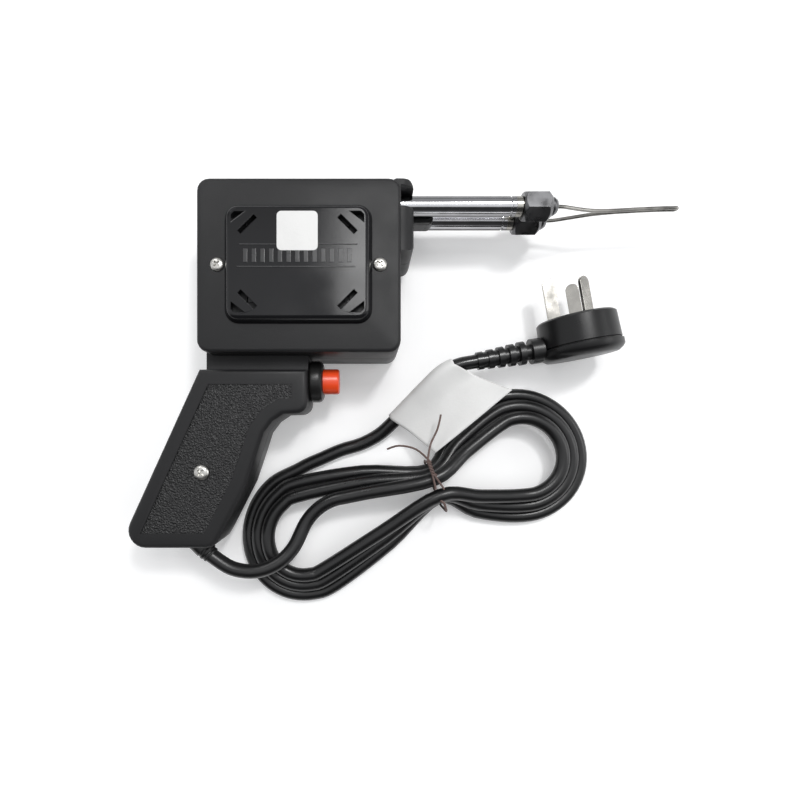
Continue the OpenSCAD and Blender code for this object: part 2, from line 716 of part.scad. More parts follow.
module switch_body() on_gun() color([0.25, 0.12, 0.08]) difference() {
    translate([switch_x - switch_len, trigger_y - switch_y / 2, -switch_z / 2]) cube([switch_len, switch_y, switch_z]);
    translate([switch_x - 1.8 - 7.4, trigger_y - 4, -6]) cube([7.4, 8, 12]);
    translate([switch_x - 3, trigger_y, 0]) rotate([0, 90, 0]) cylinder(h = 3 + over, d = stem_d + 2 * slide_gap);
    for (z = [-1, 1]) translate([switch_x - switch_len - over, trigger_y, z * contact_z]) rotate([0, 90, 0])
        cylinder(h = switch_len, d = 2.4 + 2 * run_gap);
}

module switch_contacts() on_gun() color([0.8, 0.62, 0.3]) for (z = [-1, 1])
    translate([bridge_x - bridge_t - contact_gap, trigger_y, z * contact_z]) rotate([0, -90, 0])
        cylinder(h = switch_len - (switch_x - bridge_x + bridge_t + contact_gap) + 5, d = 2.4);

// Screws, driven from the front
module pan_screw(d, face, length) {
    dome = head_h * 0.45;
    recess = d * 0.5;
    slot = d * 0.13;
    difference() {
        union() {
            rotate_extrude() polygon([[0, 0], [d / 2, 0], [d / 2, head_h - dome],
                [d * 0.42, head_h - dome * 0.45], [d * 0.3, head_h - dome * 0.12], [0, head_h]]);
            translate([0, 0, -length]) cylinder(h = length + over, d = shank_d);
        }
        for (a = [45, 135]) rotate(a) translate([0, 0, head_h - 0.6])
            cube([recess, slot, 1.6], center = true);
    }
}

module housing_screws() on_gun() color([0.78, 0.77, 0.74]) for (i = [0, 1])
    translate([boss_at[i].x, boss_at[i].y, boss_face(i) - head_sink])
        pan_screw(head_d, 0, boss_face(i) - head_sink + screw_bite - 1);

module handle_screw() on_gun() color([0.78, 0.77, 0.74])
    translate([boss_at[2].x, boss_at[2].y, boss_face(2) - head_sink])
        pan_screw(handle_head_d, 0, boss_face(2) - head_sink + screw_bite - 1);

// Mains lead outlet and the clamp inside
gland_neck_d = 9.4;
gland_seat = 6;
gland_end_d = 8.4;
gland_rib = 0.5;
lead_inside = 4;
lead_gap = 0.2;

module at_gland() translate([gland_at.x, gland_at.y, 0]) rotate([0, 0, gland_turn]) rotate([0, 90, 0]) children();

// A tapered sleeve with two ribs, moulded round the lead
module cord_gland() on_gun() color([0.05, 0.05, 0.05]) at_gland() rotate_extrude() polygon([
    [cord_d / 2 + seat_gap, -gland_seat], [gland_neck_d / 2, -gland_seat], [gland_neck_d / 2, gland_out * 0.5],
    [gland_neck_d / 2 - gland_rib, gland_out * 0.52], [gland_neck_d / 2 - gland_rib, gland_out * 0.62],
    [gland_neck_d / 2 - 0.1, gland_out * 0.64], [gland_end_d / 2 + 0.2, gland_out * 0.78],
    [gland_end_d / 2 - gland_rib + 0.2, gland_out * 0.8], [gland_end_d / 2 - gland_rib + 0.2, gland_out * 0.88],
    [gland_end_d / 2, gland_out * 0.9], [gland_end_d / 2 - 0.2, gland_out], [cord_d / 2 + seat_gap, gland_out]]);

// The end of the lead inside the handle, up to its clamp
gland_dir = [cos(gland_turn), sin(gland_turn), 0];
lead_start = [gland_at.x, gland_at.y, 0] - lead_inside * gland_dir;
lead_rise = handle_h * 0.29;
clamp_at = [gland_at.x - lead_rise * 0.215, gland_at.y + lead_rise * 0.71];
lead_end = [gland_at.x - lead_rise * 0.05, gland_at.y + lead_rise, 0];
lead_up = unit([0.24, 1, 0]);
inner_pts = [lead_start - lead_gap * gland_dir, lead_start - cord_d * 0.5 * gland_dir,
    [gland_at.x - lead_rise * 0.255, gland_at.y + lead_rise * 0.33, 0],
    [gland_at.x - lead_rise * 0.27, gland_at.y + lead_rise * 0.51, 0],
    [gland_at.x - lead_rise * 0.215, gland_at.y + lead_rise * 0.71, 0],
    lead_end - lead_rise * 0.15 * lead_up, lead_end];

module inner_lead() on_gun() color([0.07, 0.07, 0.07]) swept(spline(inner_pts, 2), cord_d, 10);

clamp_turn = -22;
clamp_reach = 8;
clamp_post_d = 6;
clamp_screw_d = 2.9;
clamp_screw_end = 7;
clamp_t = 1.6;
clamp_w = 7;
clamp_over = 3;
clamp_head_h = 1.6;
clamp_head_d = 5;
module at_clamp() translate([clamp_at.x, clamp_at.y, 0]) rotate(clamp_turn) children();

module cord_clamp() on_gun() color([0.6, 0.6, 0.6]) at_clamp() translate([0, 0, cord_d / 2 + 0.1]) difference() {
    translate([-clamp_reach - clamp_over, -clamp_w / 2, 0]) cube([2 * (clamp_reach + clamp_over), clamp_w, clamp_t]);
    for (x = [-clamp_reach, clamp_reach]) translate([x, 0, -over])
        cylinder(h = clamp_t + 2 * over, d = clamp_screw_d + 2 * seat_gap);
}

module clamp_screws() on_gun() color([0.78, 0.77, 0.74]) at_clamp()
    for (x = [-clamp_reach, clamp_reach]) translate([x, 0, cord_d / 2 + 0.1 + clamp_t]) {
        cylinder(h = clamp_head_h, d = clamp_head_d);
        translate([0, 0, -clamp_screw_end - cord_d / 2 - 0.1 - clamp_t])
            cylinder(h = clamp_screw_end + cord_d / 2 + 0.1 + clamp_t + over, d = clamp_screw_d);
    }

// Insulated wires: lead to switch, lead to winding, switch to winding
core_wire_d = 2;
wire_split = 1.3;
terminal_x = switch_x - switch_len - 5;
wire_clear = handle_h * 0.092;
terminal_back = 1.3;
function by_boss(x, y, z) = [handle_screw_at.x + x * wire_clear, handle_screw_at.y + y * wire_clear, z];
function by_neck(x, y, z) = [neck_left + wall + x, handle_top + y, z];
function by_corner(x, y, z) = [-side_x + wall + x, -top_y + wall + y, z];
function by_coil(x, y, z) = [coil_start - 0.4 + x, y, z];
wire_high = core_t / 2 + flange_rise * 0.6;
wire_low = core_leg * -0.62;
wire_foot = [for (s = [-1, 1]) [lead_end + 0.2 * lead_up + [0, 0, s * wire_split], lead_end + 2.5 * lead_up + [0, 0, s * wire_split]]];
to_switch = concat(wire_foot[1], [by_boss(0.53, -0.9, 2.5), by_boss(1, 0, 4), by_boss(1, 1.3, 4),
    [terminal_x - terminal_back, trigger_y - 2.2 * wire_clear, contact_z],
    [terminal_x - terminal_back, trigger_y - 5, contact_z], [terminal_x - terminal_back, trigger_y + 1, contact_z]]);
to_winding = concat(wire_foot[0], [by_boss(0.53, -0.9, -2.5), by_boss(1, 0.13, -3), by_boss(1, 1.6, -2),
    by_neck(3, -1.8 * wire_clear, 0), by_neck(3, 0, 0), by_neck(4, neck_h, 0), by_corner(8, 7, 8), by_corner(9, 15, wire_high),
    by_coil(-10, wire_low - 7, wire_high), by_coil(-5, wire_low, wire_high), by_coil(0, wire_low, wire_high)]);
switch_to_winding = [[terminal_x - terminal_back, trigger_y - 1, -contact_z],
    [terminal_x - terminal_back, trigger_y + 2, -contact_z],
    by_neck(2.4, 0, -5), by_neck(3.4, neck_h, -5), by_corner(8, 8, -9), by_corner(9, 15, -wire_high),
    by_coil(-10, wire_low - 7, -wire_high), by_coil(-5, wire_low, -wire_high), by_coil(0, wire_low, -wire_high)];

module inner_wires() on_gun() color([0.2, 0.25, 0.6]) for (w = [to_switch, to_winding, switch_to_winding])
    swept(spline(w, 2), core_wire_d, 6);

// The mains lead. Route points are chosen by hand, on the table's frame
gland_end = [body_x, body_y, mid_z] + [gland_at.x, gland_at.y, 0] + gland_out * gland_dir;
lead_root = [body_x, body_y, mid_z] + lead_start;

// The hank: loops laid round a drawn-in waist, each a pitch outside the last and a layer
// below it; it changes layer along the run from the left fold to the right one
hank_at = [14, -57];
hank_lean = 20;
hank_bow = 4;
waist_v = 4.1;
waist_r = 40;
waist_lift = 1.6;
turns = 3;
stations = 24;
lean_end = 38;
lean_mid = 52;
lean_waist = 78;
end_step = cord_pitch * cos(lean_end);

// Each lobe's fold: centre distance from the waist and fold radius at the first turn
right_r = fold_r - 0.125 * end_step;
left_r = fold_r - 0.625 * end_step;
right_c = hank_right - right_r - 2.3 * end_step;
left_c = hank_left - left_r - 2.8 * end_step;
function lobe_angle(c, r) = asin((r + waist_r) / norm([c, waist_v + waist_r])) - atan2(waist_v + waist_r, c);
right_a = lobe_angle(right_c, right_r);
left_a = lobe_angle(left_c, left_r);

// Station i of the first loop: place, outward normal and lean of the pile.
// Stations 0 and 12 are at the waist, 2 to 10 on the right fold, 14 to 22 on the left one
function fold_at(c, r, a, t) = [c + r * cos(a * (1 - 2 * t)), r * sin(a * (1 - 2 * t)), a * (1 - 2 * t), lean_end];
function mid_run(f, w) = [(f[0] + w[0]) / 2, (f[1] + w[1]) / 2, f[2], lean_mid];
right_top = fold_at(right_c, right_r, 90 + right_a, 0);
left_top = fold_at(left_c, left_r, 90 + left_a, 0);
function right_lobe(i) = i == 0 ? [0, waist_v, 90, lean_waist] : i == 1 ? mid_run(right_top, [0, waist_v]) :
    i <= 10 ? fold_at(right_c, right_r, 90 + right_a, (i - 2) / 8) :
    let (m = right_lobe(1)) [m[0], -m[1], -m[2], m[3]];
function left_lobe(i) = i == 12 ? [0, -waist_v, -90, lean_waist] :
    i == 13 ? let (m = mid_run(left_top, [0, waist_v])) [-m[0], -m[1], m[2] - 180, m[3]] :
    i <= 22 ? let (m = fold_at(left_c, left_r, 90 + left_a, 1 - (i - 14) / 8)) [-m[0], m[1], 180 - m[2], m[3]] :
    let (m = mid_run(left_top, [0, waist_v])) [-m[0], m[1], 180 - m[2], m[3]];
function station(i) = i < 12 ? right_lobe(i) : left_lobe(i);
function waist_share(i) = let (j = i % 12) j == 0 ? 1 : (j == 1 || j == 11) ? 0.4 : 0;
drop_steps = 3;
function layer(j) = let (n = floor((j + 1) / stations), t = (j + 1 - n * stations) / drop_steps)
    turns - 1 - min(turns - 1, n - 1 + min(1, t));
function hank_local(j) = let (i = (j + 23) % stations, s = station(i), k = j / stations * cord_pitch)
    [s[0] + k * cos(s[3]) * cos(s[2]), s[1] + k * cos(s[3]) * sin(s[2]),
     cord_d / 2 + waist_lift * waist_share(i) + layer(j) * cord_pitch * sin(s[3])];
function hank_place(p) = let (v = p.y - hank_bow * p.x * p.x / (hank_left * hank_right))
    [hank_at.x + p.x * cos(hank_lean) - v * sin(hank_lean), hank_at.y + p.x * sin(hank_lean) + v * cos(hank_lean), p.z];
hank_body = [for (j = [0:turns * stations - 1]) hank_place(hank_local(j))];
hank_last = len(hank_body) - 1;
hank_in = hank_body[0] - cord_d * unit(hank_body[1] - hank_body[0]);
hank_out = hank_body[hank_last] + cord_d * unit(hank_body[hank_last] - hank_body[hank_last - 1]);
hank_pts = concat([hank_in], hank_body, [hank_out]);

// Least distance between strands one loop or more apart, less the lead's diameter
function seg_gap(p, a, b) = let (t = max(0, min(1, ((p - a) * (b - a)) / ((b - a) * (b - a))))) norm(p - a - t * (b - a));
hank_gap = min([for (i = [0:len(hank_pts) - 1], j = [i + 10:len(hank_pts) - 2]) seg_gap(hank_pts[i], hank_pts[j], hank_pts[j + 1])]) - cord_d;

// Tightest bend of a route, and its least gap to the hank
function bend_r(a, b, c) = let (d = norm(cross(b - a, c - b))) d == 0 ? 1000 : norm(b - a) * norm(c - b) * norm(c - a) / (2 * d);
function least_bend(p) = min([for (i = [2:len(p) - 3]) bend_r(p[i - 1], p[i], p[i + 1])]);
function gap_to_hank(p) = min([for (a = p, j = [6:len(hank_pts) - 8]) seg_gap(a, hank_pts[j], hank_pts[j + 1])]) - cord_d;

module lead_hank() color([0.07, 0.07, 0.07]) swept(hank_pts, cord_d, 6);

run_route = [[-86.4, -96.5, 24.9], [-74.9, -98, 24.6], [-64.5, -94.5, 23.2], [-56.9, -87.1, 21], [-51.1, -75.3, 18.9],
    [-45, -68.3, 18.8], [-37.7, -64, 19.5]];
hank_in_dir = unit(hank_body[0] - hank_in);
run_pts = concat([lead_root, lead_root + cord_d * 0.6 * gland_dir, gland_end], run_route,
    [hank_in - 2.3 * hank_in_dir, hank_in - 1.5 * lead_gap * hank_in_dir]);
module lead_run() color([0.07, 0.07, 0.07]) swept(spline(run_pts, 3), cord_d, 8);

// Plug, on its rim, its pins pointing away from the gun's handle
plug_at = [83, 27];
plug_turn = 10;
module on_plug() translate([plug_at.x, plug_at.y, plug_d / 2]) rotate([0, 0, plug_turn]) children();
relief_back = 13;
relief_len = 32;
relief_end_d = 9;
function plug_place(p) = [plug_at.x + p.x * cos(plug_turn) - p.y * sin(plug_turn),
    plug_at.y + p.x * sin(plug_turn) + p.y * cos(plug_turn), plug_d / 2 + p.z];
relief_end = plug_place([-plug_d / 2 - relief_len, -relief_back, 0]);
relief_dir = [-cos(plug_turn), -sin(plug_turn), 0];

tail_route = [[-45, -44.2, 3.5], [-34.5, -39.7, 3.5], [-23.5, -36.3, 3.5], [-13.9, -31.1, 4.9], [-6.2, -24, 8.2], [1.6, -16, 11.5],
    [8.4, -8.9, 14.8], [17, -0.6, 18.4], [24.8, 3.3, 19.9]];
tail_straight = 2;
tail_pts = concat([hank_out + 1.5 * lead_gap * unit(hank_out - hank_body[hank_last])], tail_route, [relief_end + tail_straight * relief_dir, relief_end + lead_gap * relief_dir]);
module lead_tail() color([0.07, 0.07, 0.07]) swept(spline(tail_pts, 3), cord_d, 8);

// The twist tie round the waist, with its two ends
tie_d = 1.2;
tie_half = [waist_v + 2.2 * cord_pitch * cos(lean_waist) + cord_d / 2 + 1.4,
    cord_d + waist_lift + 2.4 * cord_pitch * sin(lean_waist) + 0.4];
tie_loop = [for (p = round_rect(2 * tie_half.x, tie_half.y, 5, 5)) [0, p.x, p.y + tie_half.y / 2 + tie_d / 2 + 0.1]];
module hank_tie() color([0.45, 0.36, 0.34]) translate([hank_at.x, hank_at.y, 0]) rotate(hank_lean) {
    swept(concat([[-1.2, -6, tie_half.y + tie_d]], [for (i = [12:22]) tie_loop[i]], [for (i = [0:11]) tie_loop[i]],
        [[1.2, 6, tie_half.y + tie_d * 1.2]]), tie_d, 6);
}

// The paper flag, folded round the lead and closed on itself behind it
tag_w = 37;
tag_len = 27;
tag_t = 0.25;
tag_at = [7.2, -10.5, 14.1];
tag_turn = 44.3;
tag_rise = 16.6;
tag_tilt = -12;
tag_slack = 0.85;
module tag_loop(r, reach) hull() {
    circle(r);
    translate([reach, 0]) circle(r * 0.12);
}
module lead_tag() color([0.95, 0.95, 0.94]) translate(tag_at) rotate([0, 0, tag_turn]) rotate([0, -tag_rise, 0])
    rotate([tag_tilt, 0, 0]) rotate([90, 0, 90]) linear_extrude(tag_w, center = true) mirror([1, 0]) {
        difference() {
            tag_loop(cord_d / 2 + tag_slack + tag_t, 11);
            tag_loop(cord_d / 2 + tag_slack, 10.2);
        }
        translate([10.8, -tag_t]) square([tag_len - 10.8, 2 * tag_t]);
    }

// Plug body: a round base on its rim, pins along +Y, lead out to the left
module plug_body() on_plug() color([0.06, 0.06, 0.06]) rotate([90, 0, 0]) difference() {
    rotate_extrude() polygon([[0, 0], [plug_d / 2 - 2.4, 0], [plug_d / 2 - 1.2, 1], [plug_d / 2 - 0.6, plug_depth * 0.68],
        [0, plug_depth * 0.68]]);
    pin_places() linear_extrude(12, center = true) square([pin_w + 0.1, pin_t + 0.1], center = true);
    translate([-plug_d / 2, 0, relief_back]) rotate([0, 90, 0]) cylinder(h = 8, d = 8.2);
}

// The plug's back cover, a shallow cap with a wider rim
module plug_cover() on_plug() color([0.06, 0.06, 0.06]) rotate([90, 0, 0]) translate([0, 0, plug_depth * 0.68]) difference() {
    rotate_extrude() polygon([[0, 0.02], [plug_d / 2 - 1.6, 0.02], [plug_d / 2 - 1.6, 0.6], [plug_d / 2, 0.8], [plug_d / 2, 3.6],
        [plug_d / 2 - 1, plug_depth * 0.32 - 1.4], [plug_d / 2 - 3, plug_depth * 0.32], [0, plug_depth * 0.32]]);
    translate([-plug_d / 2, 0, relief_back - plug_depth * 0.68]) rotate([0, 90, 0]) cylinder(h = 8, d = 8.2);
}

// The three pins: earth towards the lead, the other two slanted
pin_circle = 7.92;
module pin_places() {
    translate([-10.3, 0, 0]) children();
    for (s = [-1, 1]) translate([pin_circle / 2, s * pin_circle * cos(30), 0]) rotate(s * -30) children();
}

module plug_pins() on_plug() color([0.75, 0.74, 0.7]) rotate([90, 0, 0]) {
    translate([-10.3, 0, -earth_len]) flat_pin(earth_len + 5);
    for (s = [-1, 1]) translate([pin_circle / 2, s * pin_circle * cos(30), -live_len]) rotate(s * -30) flat_pin(live_len + 5);
}

module flat_pin(length) {
    end_r = pin_w / 2;
    rotate([90, 0, 0]) linear_extrude(pin_t, center = true) union() {
        translate([-pin_w / 2, end_r]) square([pin_w, length - end_r]);
        translate([0, end_r]) circle(end_r);
    }
}

// The ribbed sleeve that guides the lead out of the plug
rib_count = 5;
module plug_relief() on_plug() color([0.05, 0.05, 0.05]) translate([-plug_d / 2 + 6, -relief_back, 0]) rotate([0, -90, 0]) {
    total = relief_len + 6;
    rib_step = (relief_len - 6) / rib_count;
    difference() {
        union() {
            cylinder(h = total, d = 8);
            difference() {
                translate([0, 0, 3]) cylinder(h = 8, d = 12.6);
                translate([0, 0, 6 - plug_d / 2]) rotate([90, 0, 0])
                    cylinder(h = plug_d, d = plug_d + 2 * seat_gap, center = true);
            }
            for (i = [1:rib_count]) translate([0, 0, 9 + rib_step * i])
                cylinder(h = i == rib_count ? 0.01 + total - 9 - rib_step * i : rib_step * 0.55, d = 12.4 - 0.7 * i);
        }
        translate([0, 0, -over]) cylinder(h = over + 0.5, d = 3);
    }
}

echo(run_gap_to_hank = gap_to_hank(spline(run_pts, 3)), tail_gap_to_hank = gap_to_hank(spline(tail_pts, 3)),
    hank_bend = least_bend(hank_pts), run_bend = least_bend(spline(run_pts, 3)), tail_bend = least_bend(spline(tail_pts, 3)));
echo(hank_gap = hank_gap, hank_length = path_length(hank_pts), run_length = path_length(spline(run_pts, 3)),
    tail_length = path_length(spline(tail_pts, 3)), hank_in = hank_in, hank_out = hank_out, gland_end = gland_end,
    relief_end = relief_end, body = [body_x, body_y, mid_z], heel_x = heel_x, tip_end_x = tip_end_x);

front_shell();
back_shell();
front_panel();
back_panel();
sticker();
tube_spacer();
upper_tube();
lower_tube();
upper_stud();
lower_stud();
upper_nut();
lower_nut();
tip_wire();
core();
bobbin();
primary_winding();
secondary_rod();
button();
button_collar();
button_spring();
contact_bridge();
switch_body();
switch_contacts();
housing_screws();
handle_screw();
cord_clamp();
clamp_screws();
inner_lead();
inner_wires();
cord_gland();
lead_run();
lead_hank();
lead_tail();
hank_tie();
lead_tag();
plug_body();
plug_cover();
plug_relief();
plug_pins();
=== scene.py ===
# %% [markdown]
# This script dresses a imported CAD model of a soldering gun. The CAD model gives every rigid piece its
# shape and place. The script adds soft edges, materials, the mains lead as one smooth cord, the light
# and the camera. It can be read and run one cell at a time.

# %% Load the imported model
import math

import bmesh
import bpy
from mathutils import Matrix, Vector


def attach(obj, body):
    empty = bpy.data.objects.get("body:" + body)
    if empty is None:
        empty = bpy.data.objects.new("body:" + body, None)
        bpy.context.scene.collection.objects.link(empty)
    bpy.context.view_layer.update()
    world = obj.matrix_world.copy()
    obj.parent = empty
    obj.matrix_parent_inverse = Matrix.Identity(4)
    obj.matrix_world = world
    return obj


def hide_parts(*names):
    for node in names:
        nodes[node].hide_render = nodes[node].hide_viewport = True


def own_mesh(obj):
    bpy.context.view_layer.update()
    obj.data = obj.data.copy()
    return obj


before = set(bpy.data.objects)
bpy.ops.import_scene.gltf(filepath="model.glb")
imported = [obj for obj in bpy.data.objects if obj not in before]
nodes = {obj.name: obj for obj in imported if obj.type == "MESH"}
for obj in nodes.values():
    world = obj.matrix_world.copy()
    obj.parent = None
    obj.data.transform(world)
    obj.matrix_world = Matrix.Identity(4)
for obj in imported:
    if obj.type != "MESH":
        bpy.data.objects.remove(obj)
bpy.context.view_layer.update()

# %% [markdown]
# The camera stands above the bench and looks straight down, as in the photograph. A turned camera
# would show the housing's sides at the wrong slant, so the lens is shifted instead, as on a view
# camera, to bring the gun to its place in the picture. The camera comes first, because the cord is
# measured against what it sees.

# %% Camera
MM = 0.001


def place(x, y, z):
    """A point in millimetres as a vector in metres."""
    return Vector((x, y, z)) * MM


CAMERA_AT, LENS, LENS_SHIFT = place(-19.1, -29, 270), 22.59, 0.0375
cam_data = bpy.data.cameras.new("Camera")
cam_data.sensor_width = 36
cam_data.lens = LENS
camera = bpy.data.objects.new("Camera", cam_data)
bpy.context.scene.collection.objects.link(camera)
camera.location = CAMERA_AT
cam_data.shift_x = cam_data.shift_y = LENS_SHIFT
camera.rotation_euler = (0, 0, 0)
cam_data.clip_start, cam_data.clip_end = 0.01, 20
bpy.context.scene.camera = camera
bpy.context.scene.view_settings.view_transform = "Standard"
print("camera at", [round(c, 3) for c in camera.location])

# %% [markdown]
# The lead is one cord from the handle to the plug. It could be drawn by hand, but the CAD source has a
# formula for it, so the same formula is used here and the cord lies where its solids lie. The hank is
# a loop with a drawn-in waist that is laid three times. Its sizes are in millimetres and degrees.

# %% Sizes of the hank
CORD_D = 7.0
PITCH = 7.8
HANK_AT = (14.0, -57.0)
HANK_LEAN = math.radians(20)
HANK_BOW = 4.0
HANK_RIGHT, HANK_LEFT = 80.0, 103.0
WAIST_V, WAIST_R, WAIST_LIFT, LIFT_BESIDE = 4.1, 40.0, 1.6, 0.4
TURNS, STATIONS, DROP_STEPS = 3, 24, 3
LEAN_END, LEAN_MID, LEAN_WAIST = 38.0, 52.0, 78.0
FOLD_R = 19.0
END_STEP = PITCH * math.cos(math.radians(LEAN_END))
# Turns laid where each fold begins, and where its outermost one is halfway
RIGHT_BEGINS, RIGHT_OUTER = 0.125, 2.3
LEFT_BEGINS, LEFT_OUTER = 0.625, 2.8
RIGHT_R, LEFT_R = FOLD_R - RIGHT_BEGINS * END_STEP, FOLD_R - LEFT_BEGINS * END_STEP
RIGHT_C = HANK_RIGHT - RIGHT_R - RIGHT_OUTER * END_STEP
LEFT_C = HANK_LEFT - LEFT_R - LEFT_OUTER * END_STEP
print("fold radii", round(RIGHT_R, 1), "and", round(LEFT_R, 1), "mm")

# %% [markdown]
# One turn is described by 24 stations. A station has a place, the direction that points out of the
# loop, and a lean, which says how much the next turn goes outwards and how much it goes down. The
# folds at both ends are arcs, and straight runs join them to the waist.

# %% One turn of the hank


def lobe_angle(c, r):
    """How far a fold wraps past its sides, in degrees."""
    reach = WAIST_V + WAIST_R
    return math.degrees(math.asin((r + WAIST_R) / math.hypot(c, reach)) - math.atan2(reach, c))


def fold_at(c, r, a, t):
    """Place, outward angle and lean at share t of a fold."""
    turn = a * (1 - 2 * t)
    return (c + r * math.cos(math.radians(turn)), r * math.sin(math.radians(turn)), turn, LEAN_END)


RIGHT_A = 90 + lobe_angle(RIGHT_C, RIGHT_R)
LEFT_A = 90 + lobe_angle(LEFT_C, LEFT_R)


def mid_run(fold):
    """The station halfway between a fold and the waist."""
    return (fold[0] / 2, (fold[1] + WAIST_V) / 2, fold[2], LEAN_MID)


def station(i):
    """Place, outward angle and lean of station i of the first turn."""
    right_mid = mid_run(fold_at(RIGHT_C, RIGHT_R, RIGHT_A, 0))
    left_mid = mid_run(fold_at(LEFT_C, LEFT_R, LEFT_A, 0))
    if i == 0:
        return (0, WAIST_V, 90, LEAN_WAIST)
    if i == 1:
        return right_mid
    if i <= 10:
        return fold_at(RIGHT_C, RIGHT_R, RIGHT_A, (i - 2) / 8)
    if i == 11:
        return (right_mid[0], -right_mid[1], -right_mid[2], right_mid[3])
    if i == 12:
        return (0, -WAIST_V, -90, LEAN_WAIST)
    if i == 13:
        return (-left_mid[0], -left_mid[1], left_mid[2] - 180, left_mid[3])
    if i <= 22:
        x, y, turn, lean = fold_at(LEFT_C, LEFT_R, LEFT_A, 1 - (i - 14) / 8)
        return (-x, y, 180 - turn, lean)
    return (-left_mid[0], left_mid[1], 180 - left_mid[2], left_mid[3])


print("folds turn", round(2 * RIGHT_A), "and", round(2 * LEFT_A), "degrees")

# %% [markdown]
# Each turn lies a pitch outside the last and one layer below it, and comes down to its layer over
# three stations. At the waist, under the tie, the cord is lifted a little. The whole hank is then bent
# slightly, turned and moved to its place on the bench.

# %% Turns of the hank


def layer(j):
    """How many layers up point j lies."""
    n = (j + 1) // STATIONS
    t = (j + 1 - n * STATIONS) / DROP_STEPS
    return TURNS - 1 - min(TURNS - 1, n - 1 + min(1, t))


def hank_point(j):
    """Point j of the hank, in millimetres."""
    i = (j + 23) % STATIONS
    x, y, turn, lean = station(i)
    k = j / STATIONS * PITCH
    out, up = k * math.cos(math.radians(lean)), layer(j) * PITCH * math.sin(math.radians(lean))
    lift = WAIST_LIFT * (1 if i % 12 == 0 else LIFT_BESIDE if i % 12 in (1, 11) else 0)
    u = x + out * math.cos(math.radians(turn))
    v = y + out * math.sin(math.radians(turn))
    return u, v, CORD_D / 2 + lift + up


def hank_place(j):
    """Point j turned and moved to its place on the bench."""
    u, v, z = hank_point(j)
    v -= HANK_BOW * u * u / (HANK_LEFT * HANK_RIGHT)
    c, s = math.cos(HANK_LEAN), math.sin(HANK_LEAN)
    return Vector((HANK_AT[0] + u * c - v * s, HANK_AT[1] + u * s + v * c, z))


hank_body = [hank_place(j) for j in range(TURNS * STATIONS)]
print("hank points", len(hank_body))

# %% [markdown]
# The cord leaves the outlet bush in the handle's end at 45 degrees and ends in the plug's strain
# relief. In between, a few points read off the photograph lead it to the hank and on to the plug. A
# smooth curve through all the points is the cord's middle line.

# %% From the handle to the plug


def smooth(points, steps):
    """A curve through the points, with that many steps between neighbours."""
    out = []
    n = len(points)
    for i in range(n - 1):
        a, b, c, d = points[max(i - 1, 0)], points[i], points[i + 1], points[min(i + 2, n - 1)]
        for k in range(steps):
            t = k / steps
            out.append(0.5 * (2 * b + (c - a) * t + (2 * a - 5 * b + 4 * c - d) * t ** 2
                              + (3 * b - a - 3 * c + d) * t ** 3))
    return out + [points[-1]]


PLUG_AT, PLUG_TURN, PLUG_D = (83.0, 27.0), math.radians(10), 40.0
RELIEF_BACK, RELIEF_LEN = 13.0, 32.0


def plug_place(x, y):
    """A point of the plug's own frame at its middle height, in millimetres."""
    c, s = math.cos(PLUG_TURN), math.sin(PLUG_TURN)
    return Vector((PLUG_AT[0] + x * c - y * s, PLUG_AT[1] + x * s + y * c, PLUG_D / 2))


GLAND_DIR = Vector((math.cos(math.radians(-45)), math.sin(math.radians(-45)), 0))
GLAND_END = Vector((-96.3521, -90.214, 25.0))
LEAD_START = GLAND_END - GLAND_DIR
in_dir = (hank_body[1] - hank_body[0]).normalized()
out_dir = (hank_body[-1] - hank_body[-2]).normalized()
run_route = [(-86.4, -96.5, 24.9), (-74.9, -98, 24.6), (-64.5, -94.5, 23.2), (-56.9, -87.1, 21),
             (-51.1, -75.3, 18.9), (-45, -68.3, 18.8), (-37.7, -64, 19.5)]
tail_route = [(-45, -44.2, 3.5), (-34.5, -39.7, 3.5), (-23.5, -36.3, 3.5), (-13.9, -31.1, 4.9),
              (-6.2, -24, 8.2), (1.6, -16, 11.5), (8.4, -8.9, 14.8), (17, -0.6, 18.4), (24.8, 3.3, 19.9)]
relief_end = plug_place(-PLUG_D / 2 - RELIEF_LEN, -RELIEF_BACK)
relief_dir = Vector((-math.cos(PLUG_TURN), -math.sin(PLUG_TURN), 0))
# Short straight pieces before and after the hank keep the curve from swinging out there
STRAIGHT = 2.3
route = ([LEAD_START, GLAND_END] + [Vector(p) for p in run_route]
         + [hank_body[0] - (CORD_D + STRAIGHT) * in_dir, hank_body[0] - CORD_D * in_dir] + hank_body
         + [hank_body[-1] + CORD_D * out_dir] + [Vector(p) for p in tail_route]
         + [relief_end + 2 * relief_dir, relief_end])
line = smooth(route, 5)

# %% [markdown]
# A cord is a round tube along a line. A curve with a round bevel makes the tube and closes its ends.
# The result is kept as a mesh, because a mesh is measured and posed like every other piece.

# %% The lead as one piece


def tube_mesh(name, points, width, roundness):
    """A round tube along the points, in millimetres, as a mesh with closed ends."""
    curve = bpy.data.curves.new(name, "CURVE")
    curve.dimensions = "3D"
    curve.bevel_depth = width / 2 * MM
    curve.bevel_resolution = roundness
    curve.use_fill_caps = True
    spline = curve.splines.new("POLY")
    spline.points.add(len(points) - 1)
    for point, p in zip(spline.points, points):
        point.co = (*(p * MM), 1)
    holder = bpy.data.objects.new(name + "_line", curve)
    bpy.context.scene.collection.objects.link(holder)
    bpy.context.view_layer.update()
    mesh = bpy.data.meshes.new_from_object(holder.evaluated_get(bpy.context.evaluated_depsgraph_get()))
    mesh.name = name
    bpy.data.objects.remove(holder)
    bpy.data.curves.remove(curve)
    for f in mesh.polygons:
        f.use_smooth = len(f.vertices) == 4
    return mesh


